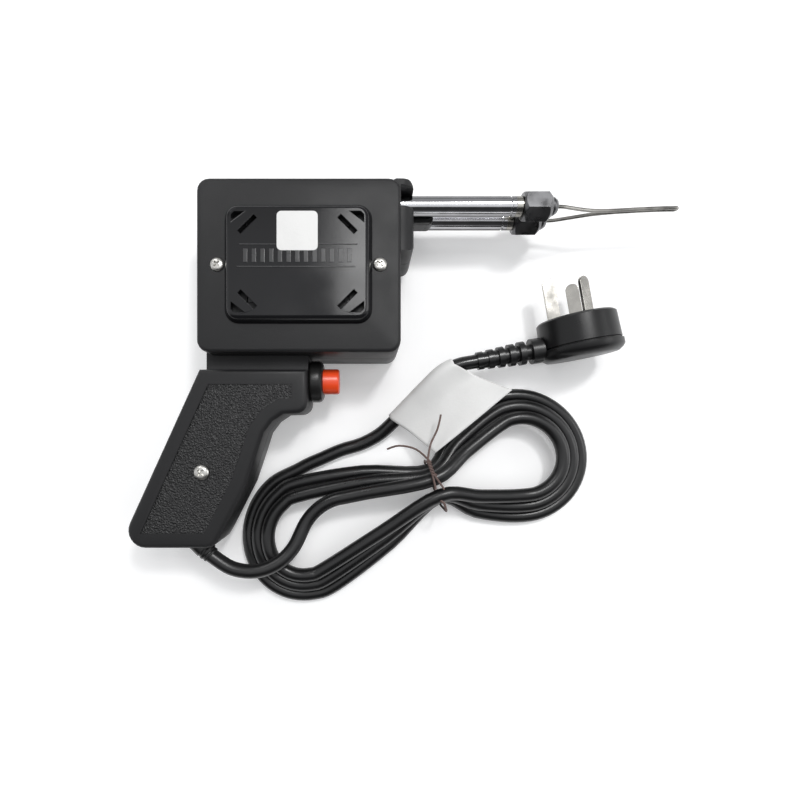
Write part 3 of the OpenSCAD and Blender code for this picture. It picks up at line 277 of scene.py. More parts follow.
lead = bpy.data.objects.new("lead", tube_mesh("lead", line, CORD_D, 8))
bpy.context.scene.collection.objects.link(lead)
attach(lead, "gun")
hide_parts("lead_run", "lead_hank", "lead_tail")
print("lead faces", len(lead.data.polygons))

# %% [markdown]
# The gun lies on a plain white bench. Only the top of the bench is seen, so one large face stands for
# it, a hair below the gun so that no two faces share a plane.

# %% Floor
FLOOR_HALF, FLOOR_DROP = 3, 0.00003
floor_mesh = bpy.data.meshes.new("floor")
floor_mesh.from_pydata([(x * FLOOR_HALF, y * FLOOR_HALF, -FLOOR_DROP)
                        for x, y in ((-1, -1), (1, -1), (1, 1), (-1, 1))], [], [(0, 1, 2, 3)])
floor = bpy.data.objects.new("floor", floor_mesh)
bpy.context.scene.collection.objects.link(floor)
print("floor", 2 * FLOOR_HALF, "m wide")

# %% [markdown]
# Stronger lamps would make the floor white too, but they would also bleach the gun, so the floor glows
# a little for rays from the camera and from glossy pieces only. The light that it reflects keeps the
# shadows. Further away, where the lamps fade, it glows more.

# %% The floor's finish


def new_material(name):
    """An empty node material and its tree."""
    m = bpy.data.materials.new(name)
    m.use_nodes = True
    m.node_tree.nodes.clear()
    return m, m.node_tree


def wire(tree, a, out, b, into):
    """Links socket out of node a to socket into of node b."""
    tree.links.new(a.outputs[out], b.inputs[into])


# Strength of the glow near the gun and far from it, and the distances in metres where it changes
GLOW_NEAR, GLOW_FAR, FADE_FROM, FADE_TO = 0.22, 1.0, 0.2, 0.65
floor_mat, t = new_material("floor")
n = t.nodes
out = n.new("ShaderNodeOutputMaterial")
diffuse = n.new("ShaderNodeBsdfDiffuse")
diffuse.inputs["Color"].default_value = (0.86, 0.86, 0.86, 1)
glow = n.new("ShaderNodeEmission")
glow.inputs["Color"].default_value = (1, 1, 1, 1)
path = n.new("ShaderNodeLightPath")
shiny = n.new("ShaderNodeMath")
shiny.operation = "MAXIMUM"
seen = n.new("ShaderNodeMath")
seen.operation = "MAXIMUM"
share = n.new("ShaderNodeMath")
share.operation = "MULTIPLY"
add = n.new("ShaderNodeAddShader")
wire(t, path, "Is Glossy Ray", shiny, 0)
wire(t, path, "Is Transmission Ray", shiny, 1)
wire(t, path, "Is Camera Ray", seen, 0)
wire(t, shiny, 0, seen, 1)
wire(t, seen, 0, share, 0)
spot = n.new("ShaderNodeTexCoord")
away = n.new("ShaderNodeVectorMath")
away.operation = "LENGTH"
fade = n.new("ShaderNodeMapRange")
fade.interpolation_type = "SMOOTHSTEP"
fade.inputs["From Min"].default_value, fade.inputs["From Max"].default_value = FADE_FROM, FADE_TO
fade.inputs["To Min"].default_value, fade.inputs["To Max"].default_value = GLOW_NEAR, GLOW_FAR
wire(t, spot, "Object", away, 0)
wire(t, away, "Value", fade, "Value")
wire(t, fade, 0, share, 1)
wire(t, share, 0, glow, "Strength")
wire(t, diffuse, 0, add, 0)
wire(t, glow, 0, add, 1)
wire(t, add, 0, out, "Surface")
floor_mesh.materials.append(floor_mat)
print("floor glow", GLOW_NEAR, "near and", GLOW_FAR, "far")

# %% [markdown]
# The world is white to the camera. To every other ray it is a room in bands from front to back,
# bright overhead and dark low down at the front. An even grey would be simpler, but polished tubes
# need dark and bright bands to reflect, and they show them as the long streaks of the photograph.

# %% World
world = bpy.data.worlds.new("studio")
bpy.context.scene.world = world
world.use_nodes = True
t = world.node_tree
t.nodes.clear()
n = t.nodes
out = n.new("ShaderNodeOutputWorld")
soft = n.new("ShaderNodeBackground")
where = n.new("ShaderNodeTexCoord")
split = n.new("ShaderNodeSeparateXYZ")
bands = n.new("ShaderNodeValToRGB")
bands.color_ramp.interpolation = "EASE"
# Share of the way from front to back, and brightness there
BAND_STOPS = [(0.0, 0.3), (0.04, 0.04), (0.25, 0.03), (0.33, 0.75),
              (0.5, 1.0), (0.66, 0.8), (0.74, 0.3), (1.0, 0.4)]
while len(bands.color_ramp.elements) < len(BAND_STOPS):
    bands.color_ramp.elements.new(0.5)
for stop, (at, level) in zip(bands.color_ramp.elements, BAND_STOPS):
    stop.position, stop.color = at, (level, level * 1.01, level * 1.03, 1)
half = n.new("ShaderNodeMath")
half.operation = "MULTIPLY_ADD"
half.inputs[1].default_value, half.inputs[2].default_value = 0.5, 0.5
wire(t, where, "Generated", split, 0)
wire(t, split, "Y", half, 0)
wire(t, half, 0, bands, 0)
wire(t, bands, 0, soft, "Color")
soft.inputs["Strength"].default_value = 1.0
white = n.new("ShaderNodeBackground")
white.inputs["Color"].default_value = (1, 1, 1, 1)
path = n.new("ShaderNodeLightPath")
mix = n.new("ShaderNodeMixShader")
wire(t, path, "Is Camera Ray", mix, "Fac")
wire(t, soft, 0, mix, 1)
wire(t, white, 0, mix, 2)
wire(t, mix, 0, out, "Surface")
print("bands", len(BAND_STOPS))

# %% [markdown]
# A small lamp overhead, up and to the right of the gun, throws the short shadows to the lower left.
# The soft box beside it is what the glossy panel, the pins and the tubes mirror. Two weak lamps light
# the gun's sides.

# %% Lamps


def lamp(name, at, to, size, power, size_y=None):
    """A soft square or oblong lamp that points at a place."""
    data = bpy.data.lights.new(name, "AREA")
    data.shape = "RECTANGLE"
    data.size, data.size_y = size, size_y or size
    data.energy = power
    o = bpy.data.objects.new(name, data)
    bpy.context.scene.collection.objects.link(o)
    o.location = at
    o.rotation_mode = "QUATERNION"
    o.rotation_quaternion = (Vector(to) - Vector(at)).to_track_quat("-Z", "Y")


lamp("overhead", at=(0.24, 0.4, 0.85), to=(0, 0, 0.02), size=0.1, size_y=0.12, power=2.9)
lamp("softbox", at=(0.07, 0.33, 0.85), to=(0.07, 0.33, 0), size=0.3, size_y=0.26, power=1.9)
lamp("left", at=(-0.55, 0.75, 0.7), to=(-0.02, 0, 0.02), size=0.35, power=2)
lamp("right", at=(0.75, 0.1, 0.45), to=(0, 0, 0.02), size=0.4, size_y=0.3, power=1)

# %% [markdown]
# Every surface gets a procedural material. The effects that several materials share are node groups.
# A group gives only values that vary over the surface: a normal, a roughness or a colour. What is the
# same all over a surface is set on the shader itself.

# %% Helpers for shared effects


def new_group(name, inputs, outputs):
    """A shader node group with float inputs and the named outputs."""
    g = bpy.data.node_groups.new(name, "ShaderNodeTree")
    for label, value in inputs:
        s = g.interface.new_socket(name=label, in_out="INPUT", socket_type="NodeSocketFloat")
        s.default_value = value
    for label, kind in outputs:
        g.interface.new_socket(name=label, in_out="OUTPUT", socket_type=kind)
    return g, g.nodes.new("NodeGroupInput"), g.nodes.new("NodeGroupOutput")


def spread(g, source, out, low, high, ends):
    """Maps a varying 0 to 1 value onto low to high."""
    m = g.nodes.new("ShaderNodeMapRange")
    m.inputs["From Min"].default_value, m.inputs["From Max"].default_value = ends
    wire(g, source, out, m, "Value")
    if isinstance(low, tuple):
        wire(g, low[0], low[1], m, "To Min")
        wire(g, high[0], high[1], m, "To Max")
    else:
        m.inputs["To Min"].default_value, m.inputs["To Max"].default_value = low, high
    return m


FACE, SHINE, TONE = ("Normal", "NodeSocketVector"), ("Roughness", "NodeSocketFloat"), ("Tone", "NodeSocketColor")
print("outputs", FACE[0], SHINE[0], TONE[0])

# %% [markdown]
# Moulded plastic copies the fine texture of its mould, and handling makes broad, faint changes of
# shine. A fine noise drives a bump and a broad one the roughness. The lead and plug use it as well.

# %% Moulded grain
grain, gi, go = new_group("moulded grain",
                          [("Scale", 2500), ("Depth", 0.05), ("Rough low", 0.35), ("Rough high", 0.5)],
                          [FACE, SHINE])
where = grain.nodes.new("ShaderNodeTexCoord")
fine = grain.nodes.new("ShaderNodeTexNoise")
fine.inputs["Detail"].default_value = 3
broad = grain.nodes.new("ShaderNodeTexNoise")
broad.inputs["Scale"].default_value = 38
broad.inputs["Detail"].default_value = 5
bump = grain.nodes.new("ShaderNodeBump")
bump.inputs["Distance"].default_value = 0.0002
wire(grain, where, "Object", fine, "Vector")
wire(grain, where, "Object", broad, "Vector")
wire(grain, gi, "Scale", fine, "Scale")
wire(grain, fine, "Fac", bump, "Height")
wire(grain, gi, "Depth", bump, "Strength")
rough = spread(grain, broad, "Fac", (gi, "Rough low"), (gi, "Rough high"), (0.35, 0.65))
wire(grain, bump, "Normal", go, "Normal")
wire(grain, rough, 0, go, "Roughness")
print(grain.name, len(grain.nodes), "nodes")

# %% [markdown]
# The grip fields of the handle carry raised leather-like cells. Modelled cells would need a very heavy
# mesh, so a Voronoi pattern, its cells shifted by a noise, is used as a bump.

# %% Grip cells
cells, gi, go = new_group("grip cells", [("Scale", 900), ("Depth", 0.6)], [FACE, SHINE])
where = cells.nodes.new("ShaderNodeTexCoord")
shift = cells.nodes.new("ShaderNodeTexNoise")
shift.inputs["Scale"].default_value = 420
voro = cells.nodes.new("ShaderNodeTexVoronoi")
voro.feature = "SMOOTH_F1"
voro.inputs["Smoothness"].default_value = 0.35
shifted = cells.nodes.new("ShaderNodeVectorMath")
shifted.operation = "MULTIPLY_ADD"
shifted.inputs[1].default_value = (0.0011, 0.0011, 0.0011)
bump = cells.nodes.new("ShaderNodeBump")
bump.invert = True
bump.inputs["Distance"].default_value = 0.00055
wire(cells, where, "Object", shift, "Vector")
wire(cells, shift, "Color", shifted, 0)
wire(cells, where, "Object", shifted, 2)
wire(cells, shifted, 0, voro, "Vector")
wire(cells, gi, "Scale", voro, "Scale")
wire(cells, voro, "Distance", bump, "Height")
wire(cells, gi, "Depth", bump, "Strength")
rough = spread(cells, voro, "Distance", 0.32, 0.52, (0.1, 0.7))
wire(cells, bump, "Normal", go, "Normal")
wire(cells, rough, 0, go, "Roughness")
print(cells.name, len(cells.nodes), "nodes")

# %% [markdown]
# Plated metal shows faint wipe marks along the barrel and stains where heat and hands have been. A
# noise that is stretched along X gives the marks, and another gives the stains, which are duller and
# darker than the metal round them.

# %% Plating
plate, gi, go = new_group("plating",
                          [("Rough low", 0.06), ("Rough high", 0.14), ("Mark", 0.03), ("Dark", 0.85)],
                          [FACE, SHINE, TONE])
where = plate.nodes.new("ShaderNodeTexCoord")
stretch = plate.nodes.new("ShaderNodeMapping")
stretch.inputs["Scale"].default_value = (60, 900, 900)
marks = plate.nodes.new("ShaderNodeTexNoise")
marks.inputs["Scale"].default_value = 1
marks.inputs["Detail"].default_value = 4
stain = plate.nodes.new("ShaderNodeTexNoise")
stain.inputs["Scale"].default_value = 160
stain.inputs["Detail"].default_value = 4
bump = plate.nodes.new("ShaderNodeBump")
bump.inputs["Distance"].default_value = 0.00008
wire(plate, where, "Object", stretch, "Vector")
wire(plate, stretch, 0, marks, "Vector")
wire(plate, where, "Object", stain, "Vector")
wire(plate, marks, "Fac", bump, "Height")
wire(plate, gi, "Mark", bump, "Strength")
rough = spread(plate, stain, "Fac", (gi, "Rough low"), (gi, "Rough high"), (0.35, 0.65))
tone = plate.nodes.new("ShaderNodeMapRange")
tone.inputs["From Min"].default_value, tone.inputs["From Max"].default_value = 0.3, 0.62
wire(plate, stain, "Fac", tone, "Value")
wire(plate, gi, "Dark", tone, "To Min")
wire(plate, bump, "Normal", go, "Normal")
wire(plate, rough, 0, go, "Roughness")
wire(plate, tone, 0, go, "Tone")
print(plate.name, len(plate.nodes), "nodes")

# %% [markdown]
# The sticker, the flag and the tie's covering are paper. Its fibres are a fine bump, and a broad noise
# varies the tone, as in paper that has been handled.

# %% Paper fibres
fibre, gi, go = new_group("paper fibres", [("Scale", 700), ("Depth", 0.15)], [FACE, TONE])
where = fibre.nodes.new("ShaderNodeTexCoord")
fine = fibre.nodes.new("ShaderNodeTexNoise")
fine.inputs["Detail"].default_value = 6
crease = fibre.nodes.new("ShaderNodeTexNoise")
crease.inputs["Scale"].default_value = 45
crease.inputs["Detail"].default_value = 3
bump = fibre.nodes.new("ShaderNodeBump")
bump.inputs["Distance"].default_value = 0.0003
wire(fibre, where, "Object", fine, "Vector")
wire(fibre, where, "Object", crease, "Vector")
wire(fibre, gi, "Scale", fine, "Scale")
wire(fibre, fine, "Fac", bump, "Height")
wire(fibre, gi, "Depth", bump, "Strength")
tone = spread(fibre, crease, "Fac", 0.9, 1.0, (0.3, 0.6))
wire(fibre, bump, "Normal", go, "Normal")
wire(fibre, tone, 0, go, "Tone")
print("groups", [g.name for g in bpy.data.node_groups])

# %% [markdown]
# Each material is a Principled shader with one shared effect. The black plastics differ only in
# colour, in shine and in how strongly they reflect. On a polished tube the edges look dark, since they
# mirror the dark low parts of a room. A painted dark reflection imitates that by the angle to the camera.

# %% Helpers for materials
# How far a surface is turned away where its painted dark reflection begins, and where it is full
PAINTED_REFLECTION_FROM, PAINTED_REFLECTION_TO = 0.15, 0.6


def use(tree, group, **values):
    """A group node with some of its inputs set."""
    node = tree.nodes.new("ShaderNodeGroup")
    node.node_tree = group
    for key, value in values.items():
        node.inputs[key.replace("_", " ")].default_value = value
    return node


def shaded(name, colour, effect, settings, metallic=0.0, tinted=False, painted_dark_reflection=None, **sockets):
    """A Principled material whose normal, roughness and tone come from a shared effect.

    With painted_dark_reflection, a share, the colour falls to that share of itself where the surface turns away."""
    m, t = new_material(name)
    out = t.nodes.new("ShaderNodeOutputMaterial")
    p = t.nodes.new("ShaderNodeBsdfPrincipled")
    wire(t, p, 0, out, "Surface")
    p.inputs["Base Color"].default_value = (*colour, 1)
    p.inputs["Metallic"].default_value = metallic
    for key, value in sockets.items():
        p.inputs[key.replace("_", " ")].default_value = value
    e = use(t, effect, **settings)
    wire(t, e, "Normal", p, "Normal")
    if "Roughness" in e.outputs:
        wire(t, e, "Roughness", p, "Roughness")
    if tinted:
        mul = t.nodes.new("ShaderNodeMix")
        mul.data_type = "RGBA"
        mul.blend_type = "MULTIPLY"
        mul.inputs["Factor"].default_value = 1
        mul.inputs["A"].default_value = (*colour, 1)
        wire(t, e, "Tone", mul, "B")
        wire(t, mul, "Result", p, "Base Color")
    # Painted dark reflection: the colour darkens where the surface turns from the camera.
    if painted_dark_reflection is not None:
        turned = t.nodes.new("ShaderNodeLayerWeight")
        fall = t.nodes.new("ShaderNodeMapRange")
        fall.interpolation_type = "SMOOTHSTEP"
        fall.inputs["From Min"].default_value, fall.inputs["From Max"].default_value = PAINTED_REFLECTION_FROM, PAINTED_REFLECTION_TO
        fall.inputs["To Min"].default_value, fall.inputs["To Max"].default_value = 1, painted_dark_reflection
        dim = t.nodes.new("ShaderNodeMix")
        dim.data_type = "RGBA"
        dim.blend_type = "MULTIPLY"
        dim.inputs["Factor"].default_value = 1
        wire(t, turned, "Facing", fall, "Value")
        wire(t, mul, "Result", dim, "A")
        wire(t, fall, 0, dim, "B")
        wire(t, dim, "Result", p, "Base Color")
    return m


# Plastics with a fine texture reflect less than polished ones
DULL = dict(Specular_IOR_Level=0.3)
print("dull plastics reflect at", DULL["Specular_IOR_Level"])

# %% [markdown]
# These are the finishes of this gun. The colours are dark because most of the light that black plastic
# sends back is a reflection, not its own colour.

# %% Materials
MAT = {
    "satin": shaded("satin plastic", (0.013, 0.013, 0.0138), grain,
                    dict(Scale=2600, Depth=0.25, Rough_low=0.42, Rough_high=0.55), **DULL),
    # The ribs are the panel's own black plastic; their lighter colour is a painted highlight.
    "rib_highlight": shaded("rib plastic", (0.035, 0.035, 0.036), grain,
                  dict(Scale=1500, Depth=0.1, Rough_low=0.25, Rough_high=0.35)),
    "grip": shaded("grip plastic", (0.011, 0.011, 0.0115), cells,
                   dict(Scale=1250, Depth=1)),
    "gloss": shaded("gloss plastic", (0.009, 0.009, 0.01), grain,
                    dict(Scale=700, Depth=0.03, Rough_low=0.1, Rough_high=0.2), Specular_IOR_Level=0.38),
    "collar": shaded("collar plastic", (0.012, 0.012, 0.012), grain,
                     dict(Scale=1500, Depth=0.1, Rough_low=0.25, Rough_high=0.35), **DULL),
    "red": shaded("button plastic", (0.82, 0.07, 0.015), grain,
                  dict(Scale=900, Depth=0.05, Rough_low=0.24, Rough_high=0.36)),
    "rubber": shaded("lead sheath", (0.007, 0.007, 0.0073), grain,
                     dict(Scale=1200, Depth=0.12, Rough_low=0.24, Rough_high=0.36)),
    "plug": shaded("plug plastic", (0.008, 0.008, 0.0084), grain,
                   dict(Scale=1100, Depth=0.08, Rough_low=0.26, Rough_high=0.38), **DULL),
    # Chrome and the bright stud take a painted dark reflection at their turned-away edges, the last value.
    "chrome": shaded("chrome", (0.72, 0.72, 0.74), plate,
                     dict(Rough_low=0.07, Rough_high=0.13, Mark=0.06, Dark=0.85), 1.0, True, 0.2),
    "nickel": shaded("dark nickel", (0.15, 0.15, 0.155), plate,
                     dict(Rough_low=0.24, Rough_high=0.38, Mark=0.25, Dark=0.7), 1.0, True),
    "steel": shaded("zinc steel", (0.6, 0.59, 0.56), plate,
                    dict(Rough_low=0.22, Rough_high=0.38, Mark=0.3, Dark=0.75), 1.0, True),
    "stud": shaded("bright stud", (0.62, 0.6, 0.55), plate,
                   dict(Rough_low=0.14, Rough_high=0.25, Mark=0.15, Dark=0.75), 1.0, True, 0.35),
    "pin": shaded("pin metal", (0.5, 0.485, 0.45), plate,
                  dict(Rough_low=0.18, Rough_high=0.3, Mark=0.2, Dark=0.8), 1.0, True),
    "brass": shaded("brass", (0.7, 0.48, 0.18), plate,
                    dict(Rough_low=0.2, Rough_high=0.35, Mark=0.2, Dark=0.8), 1.0, True),
    "copper": shaded("copper", (0.72, 0.34, 0.17), plate,
                     dict(Rough_low=0.22, Rough_high=0.36, Mark=0.2, Dark=0.7), 1.0, True),
    "tip": shaded("tinned tip", (0.34, 0.33, 0.31), plate,
                  dict(Rough_low=0.25, Rough_high=0.45, Mark=0.3, Dark=0.5), 1.0, True),
    "core": shaded("core steel", (0.2, 0.19, 0.18), plate,
                   dict(Rough_low=0.35, Rough_high=0.55, Mark=0.5, Dark=0.6), 1.0, True),
    "bobbin": shaded("bobbin plastic", (0.6, 0.56, 0.45), grain,
                     dict(Scale=1500, Depth=0.1, Rough_low=0.4, Rough_high=0.5)),
    "switch": shaded("switch plastic", (0.08, 0.035, 0.02), grain,
                     dict(Scale=1500, Depth=0.1, Rough_low=0.3, Rough_high=0.45)),
    "wire": shaded("wire plastic", (0.05, 0.07, 0.35), grain,
                   dict(Scale=1500, Depth=0.05, Rough_low=0.3, Rough_high=0.4)),
    "paper": shaded("white paper", (0.72, 0.72, 0.71), fibre,
                    dict(Scale=900, Depth=0.25), tinted=True, Roughness=0.55),
    "tie": shaded("tie paper", (0.13, 0.085, 0.075), fibre,
                  dict(Scale=1800, Depth=0.6), tinted=True, Roughness=0.6),
}
lead.data.materials.append(MAT["rubber"])
print("materials", len(MAT))

# %% [markdown]
# Moulded and turned pieces never have knife edges. Each CAD node that shows is copied into a new mesh,
# its flat faces are joined, its edges get a small bevel, and the copy stands for the node.

# %% Rigid pieces
# Degrees between two faces that make an edge sharp, and that still count as flat
SHARP, FLAT = 38, 0.6
EDGE_STEPS = 2


def dressed(node, material, edge, body="gun", keep_triangles=False, levels=()):
    """A copy of a node with soft edges. Returns the piece.

    With levels, heights in millimetres, only the sharp edges at those heights are made soft. With
    keep_triangles the flat faces aren't joined and the level ones are shaded flat, which suits a
    plate with slots through it."""
    bm = bmesh.new()
    bm.from_mesh(nodes[node].data)
    bmesh.ops.remove_doubles(bm, verts=bm.verts, dist=2e-6)
    if not keep_triangles:
        bmesh.ops.dissolve_limit(bm, angle_limit=math.radians(FLAT), verts=bm.verts, edges=bm.edges)
    bmesh.ops.recalc_face_normals(bm, faces=bm.faces)
    for f in bm.faces:
        f.smooth = not keep_triangles or abs(f.normal.z) < 0.9999
    for e in bm.edges:
        e.smooth = len(e.link_faces) != 2 or e.calc_face_angle(0) < math.radians(SHARP)
    if levels:
        weight = bm.edges.layers.float.new("bevel_weight_edge")
        for e in bm.edges:
            low, high = sorted(v.co.z / MM for v in e.verts)
            level = any(abs(low - z) < 0.01 and abs(high - z) < 0.01 for z in levels)
            e[weight] = 1 if level and not e.smooth else 0
    mesh = bpy.data.meshes.new(node + "_look")
    bm.to_mesh(mesh)
    bm.free()
    piece = bpy.data.objects.new(node + "_look", mesh)
    bpy.context.scene.collection.objects.link(piece)
    mesh.materials.append(MAT[material])
    if edge:
        soft_edge = piece.modifiers.new("edges", "BEVEL")
        soft_edge.width = edge * MM
        soft_edge.segments = EDGE_STEPS
        soft_edge.limit_method = "WEIGHT" if levels else "ANGLE"
        soft_edge.use_clamp_overlap = not levels
        soft_edge.angle_limit = math.radians(SHARP)
        soft_edge.harden_normals = not keep_triangles
    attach(piece, body)
    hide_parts(node)
    return piece


print("edges of more than", SHARP, "degrees are sharp")

# %% [markdown]
# The table gives each piece its material, the width of its soft edges in millimetres and the body that
# carries it, and lists its slot. The shells have many short edges, so only their seam and the rims of
# the grip fields are made soft, which is where an edge catches the light.

# %% The table of pieces
LOOKS = [
    ("front_shell", "satin", "satin_plastic", 0.25, "gun"),
    ("back_shell", "satin", "satin_plastic", 0.25, "gun"),
    ("front_panel", "gloss", "gloss_plastic", 0.25, "gun"),
    ("back_panel", "gloss", "gloss_plastic", 0.25, "gun"),
    ("tube_spacer", "collar", "satin_plastic", 0.3, "gun"),
    ("upper_tube", "chrome", "chrome", 0.15, "gun"),
    ("lower_tube", "chrome", "chrome", 0.15, "gun"),
    ("upper_stud", "stud", "steel", 0.2, "gun"),
    ("lower_stud", "stud", "steel", 0.2, "gun"),
    ("upper_nut", "nickel", "dark_nickel", 0.25, "nut_upper"),
    ("lower_nut", "nickel", "dark_nickel", 0.25, "nut_lower"),
    ("core", "core", "steel", 0.1, "gun"),
    ("bobbin", "bobbin", "bobbin_plastic", 0.1, "gun"),
    ("primary_winding", "copper", "copper", 0.6, "gun"),
    ("button", "red", "red_plastic", 0.2, "trigger"),
    ("button_collar", "collar", "gloss_plastic", 0.3, "gun"),
    ("contact_bridge", "brass", "brass", 0.1, "trigger"),
    ("switch_body", "switch", "switch_plastic", 0.2, "gun"),
    ("switch_contacts", "brass", "brass", 0.1, "gun"),
    ("button_spring", "steel", "steel", 0, "gun"),
    ("housing_screws", "steel", "steel", 0.1, "gun"),
    ("handle_screw", "steel", "steel", 0.1, "gun"),
    ("cord_clamp", "steel", "steel", 0.1, "gun"),
    ("clamp_screws", "steel", "steel", 0.15, "gun"),
    ("cord_gland", "rubber", "lead_rubber", 0.2, "gun"),
    ("plug_body", "plug", "gloss_plastic", 0.25, "gun"),
    ("plug_cover", "plug", "gloss_plastic", 0.3, "gun"),
    ("plug_relief", "rubber", "lead_rubber", 0.3, "gun"),
    ("plug_pins", "pin", "pin_metal", 0.2, "gun"),
    ("sticker", "paper", "label", 0.05, "gun"),
]
# The shells' seam, and how far the handle's faces with the rims of the grip fields are from it
SEAM_Z, HANDLE_FACE = 25, 13.5
LEVELS = {"front_shell": (SEAM_Z, SEAM_Z + HANDLE_FACE), "back_shell": (SEAM_Z, SEAM_Z - HANDLE_FACE)}
looks = {}
for node, material, slot, edge, body in LOOKS:
    looks[node] = dressed(node, material, edge, body=body, keep_triangles=node.endswith("_panel"),
                          levels=LEVELS.get(node, ()))
PLAIN = [("secondary_rod", "copper"), ("inner_lead", "rubber"), ("inner_wires", "wire"), ("tip_wire", "tip")]
for node, material in PLAIN:
    nodes[node].data.materials.clear()
    nodes[node].data.materials.append(MAT[material])
print("dressed", len(looks))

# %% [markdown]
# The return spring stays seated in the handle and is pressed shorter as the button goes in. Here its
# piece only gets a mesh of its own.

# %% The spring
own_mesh(looks["button_spring"])

# %% [markdown]
# The floor of each sunk grip field is moulded with raised cells. The field is found by its depth below
# the handle's face, and its faces take the grip material.

# %% Grip fields
GRIP_SINK, GRIP_TOP_Y = 0.5, -4
for node, side in [("front_shell", 1), ("back_shell", -1)]:
    mesh = looks[node].data
    mesh.materials.append(MAT["grip"])
    floor_z = SEAM_Z + side * (HANDLE_FACE - GRIP_SINK)
    count = 0
    for f in mesh.polygons:
        if abs(f.center.z / MM - floor_z) < 0.05 and f.center.y / MM < GRIP_TOP_Y and abs(f.normal.z) > 0.99:
            f.material_index = 1
            count += 1
    print(node, "grip faces", count)

# %% [markdown]
# The front vent panel carries two low raised rules with a row of ribs between them. They are one mesh
# of small blocks with soft edges, a quarter of a millimetre high, that stands on the panel's face.

# %% Rules and ribs on the front panel
PANEL_TOP, PANEL_AT = 50.0, (-50.999, 44.85)
RIB_RISE, RIB_SINK, RIB_EDGE = 0.22, 0.3, 0.16
ribs = bmesh.new()


def add_block(x, y, w, h):
    """One low block on the panel, placed from the panel's centre."""
    x, y = x + PANEL_AT[0], y + PANEL_AT[1]
    corners = [(x - w / 2, y - h / 2), (x + w / 2, y - h / 2), (x + w / 2, y + h / 2), (x - w / 2, y + h / 2)]
    low = [ribs.verts.new((cx * MM, cy * MM, (PANEL_TOP - RIB_SINK) * MM)) for cx, cy in corners]
    high = [ribs.verts.new((cx * MM, cy * MM, (PANEL_TOP + RIB_RISE) * MM)) for cx, cy in corners]
    ribs.faces.new(high)
    ribs.faces.new(low[::-1])
    for k in range(4):
        ribs.faces.new((low[k], low[(k + 1) % 4], high[(k + 1) % 4], high[k]))


RULE_LONG, RULE_WIDE = 52, 0.55
RIBS, RIB_PITCH, RIB_WIDE, RIB_TALL, RIBS_UP = 13, 3.8, 1.9, 6.0, 2.7
for x, y in [(0.5, 7.6), (-0.5, -2.2)]:
    add_block(x, y, RULE_LONG, RULE_WIDE)
for k in range(RIBS):
    add_block((k - (RIBS - 1) / 2) * RIB_PITCH, RIBS_UP, RIB_WIDE, RIB_TALL)
ribs_mesh = bpy.data.meshes.new("panel_ribs")
bmesh.ops.recalc_face_normals(ribs, faces=ribs.faces)
ribs.to_mesh(ribs_mesh)
ribs.free()
panel_ribs = bpy.data.objects.new("panel_ribs", ribs_mesh)
bpy.context.scene.collection.objects.link(panel_ribs)
# Their lighter plastic is a painted highlight on the panel's black moulding.
ribs_mesh.materials.append(MAT["rib_highlight"])
soft_edge = panel_ribs.modifiers.new("edges", "BEVEL")
soft_edge.width, soft_edge.segments = RIB_EDGE * MM, 3
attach(panel_ribs, "gun")
print("ribs", len(ribs_mesh.polygons) // 6)

# %% [markdown]
# A blank paper flag is folded round the lead, and its two leaves lie together. It is a grid of points:
# one way it follows the lead, the other way it goes from the free edge over the lead and back under it.

# %% Rows of the flag
FLAG_FROM, FLAG_TO = Vector((-6.0, -23.8, 8.3)), Vector((23.6, 2.9, 19.8))
FLAG_LOW, FLAG_HIGH = Vector((13.1, -40.4, 22.0)), Vector((49.5, -9.6, 28.0))
FLAG_R, FLAG_THICK, FLAG_ARCH, LEAF_GAP, LEAF_BOW = 4.3, 0.12, 1.2, 0.2, 1.6
LEAF_STEPS, WRAP_STEPS, FLAG_ROWS = 16, 10, 30
# Share of the reach over which the two leaves come together
CLOSED_AT = 0.42


def nearest(p):
    """Index of the lead's point nearest to p."""
    return min(range(len(line)), key=lambda i: (line[i] - p).length)


first, last = nearest(FLAG_FROM), nearest(FLAG_TO)
rows = []
for r in range(FLAG_ROWS + 1):
    # The row's place on the lead, and how far the flag reaches from there
    t = r / FLAG_ROWS
    at = first + t * (last - first)
    i = min(int(at), last - 1)
    centre = line[i].lerp(line[i + 1], at - i)
    along = (line[min(i + 2, last + 2)] - line[max(i - 2, 0)]).normalized()
    edge = FLAG_LOW.lerp(FLAG_HIGH, t) + Vector((0, 0, FLAG_ARCH * math.sin(math.pi * t)))
    reach = edge - centre
    # The way out along the leaf, up from it, and back round the far side of the lead
    out_way = reach.normalized()
    up_way = along.cross(out_way)
    up_way = -up_way.normalized() if up_way.z < 0 else up_way.normalized()
    back_way = up_way.cross(along).normalized()
    back_way = back_way if back_way.dot(out_way) < 0 else -back_way
    # The upper and the lower leaf, each from the lead to the free edge
    row = []
    for leaf in (1, -1):
        leaf_points = []
        for k in range(LEAF_STEPS + 1):
            u = k / LEAF_STEPS
            near = 0.5 + 0.5 * math.cos(math.pi * min(1, u / CLOSED_AT))
            lift = LEAF_GAP / 2 + (FLAG_R - LEAF_GAP / 2) * near
            bow = LEAF_BOW * math.sin(math.pi * u) * (0.4 + 0.6 * t)
            leaf_points.append(centre + reach * u + up_way * (leaf * lift - bow))
        row.append(leaf_points)
    wrap = []
    for k in range(1, WRAP_STEPS):
        turn = math.pi * (0.5 - k / WRAP_STEPS)
        wrap.append(centre + up_way * FLAG_R * math.sin(turn) + back_way * FLAG_R * math.cos(turn))
    rows.append(row[0][::-1] + wrap + row[1])
print("flag", round((line[last] - line[first]).length), "mm along the lead,", len(rows), "rows")

# %% [markdown]
# The rows are joined to a sheet of faces. A Solidify modifier gives it the thickness of stiff paper,
# which is simpler than modelling both of its sides.

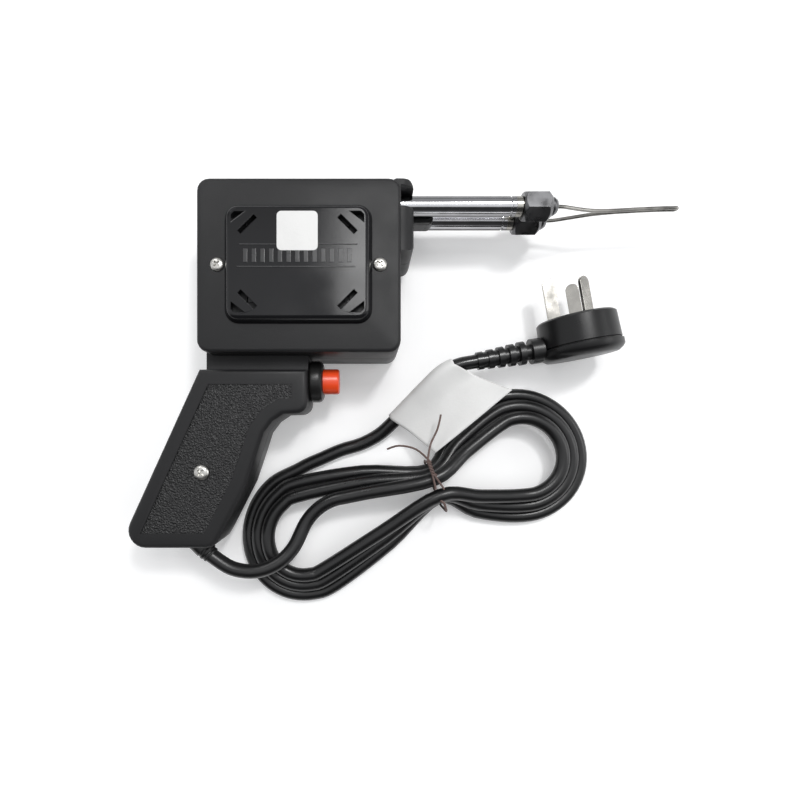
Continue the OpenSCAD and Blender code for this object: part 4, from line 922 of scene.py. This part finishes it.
# %% The flag
flag_mesh = bpy.data.meshes.new("lead_tag_look")
wide = len(rows[0])
flag_mesh.from_pydata([tuple(p * MM) for row in rows for p in row], [],
                      [(r * wide + c, r * wide + c + 1, (r + 1) * wide + c + 1, (r + 1) * wide + c)
                       for r in range(FLAG_ROWS) for c in range(wide - 1)])
for f in flag_mesh.polygons:
    f.use_smooth = True
flag = bpy.data.objects.new("lead_tag_look", flag_mesh)
bpy.context.scene.collection.objects.link(flag)
flag_mesh.materials.append(MAT["paper"])
paper_body = flag.modifiers.new("paper", "SOLIDIFY")
paper_body.thickness, paper_body.offset = FLAG_THICK * MM, 0
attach(flag, "gun")
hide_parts("lead_tag")
looks["lead_tag"] = flag
print("flag faces", len(flag_mesh.polygons))

# %% [markdown]
# The hank is held by a length of paper-covered wire. It goes once round the waist, its two strands are
# twisted together on top, and the ends stand away.

# %% The tie
looks["hank_tie"] = dressed("hank_tie", "tie", 0)
TIE_D, TWISTS, TWIST_LONG, TWIST_STEPS = 1.0, 2.6, 8.0, 24
tie_top = max((v.co.z for v in looks["hank_tie"].data.vertices)) / MM
knot = Vector((11.2, -50.2, tie_top + 0.2))
knot_way = Vector((-0.35, 0.94, 0.18)).normalized()
side_way = knot_way.cross(Vector((0, 0, 1))).normalized()
rise_way = side_way.cross(knot_way)
strands = []
for phase, ends in ((0, [(10.4, -36, 25.5), (13.6, -28.5, 26.6), (15.2, -21.5, 27.2)]),
                    (math.pi, [(3.5, -38.5, 23.5), (-4.5, -36.8, 20.5), (-10.5, -38.6, 17.8)])):
    points = [Vector((14.6 + 2 * math.cos(phase), -57.5, tie_top - 0.3))]
    for k in range(TWIST_STEPS + 1):
        turn = phase + TWISTS * 2 * math.pi * k / TWIST_STEPS
        points.append(knot + knot_way * (TWIST_LONG * k / TWIST_STEPS - 1)
                      + (side_way * math.cos(turn) + rise_way * math.sin(turn)) * TIE_D * 0.5)
    strands.append(smooth(points + [Vector(p) for p in ends], 4))
tie_bm = bmesh.new()
for points in strands:
    tie_bm.from_mesh(tube_mesh("strand", points, TIE_D, 2))
ends_mesh = bpy.data.meshes.new("tie_ends")
tie_bm.to_mesh(ends_mesh)
tie_bm.free()
for f in ends_mesh.polygons:
    f.use_smooth = len(f.vertices) == 4
ends_mesh.materials.append(MAT["tie"])
tie_ends = bpy.data.objects.new("tie_ends", ends_mesh)
bpy.context.scene.collection.objects.link(tie_ends)
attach(tie_ends, "gun")
print("tie top", round(tie_top, 1))
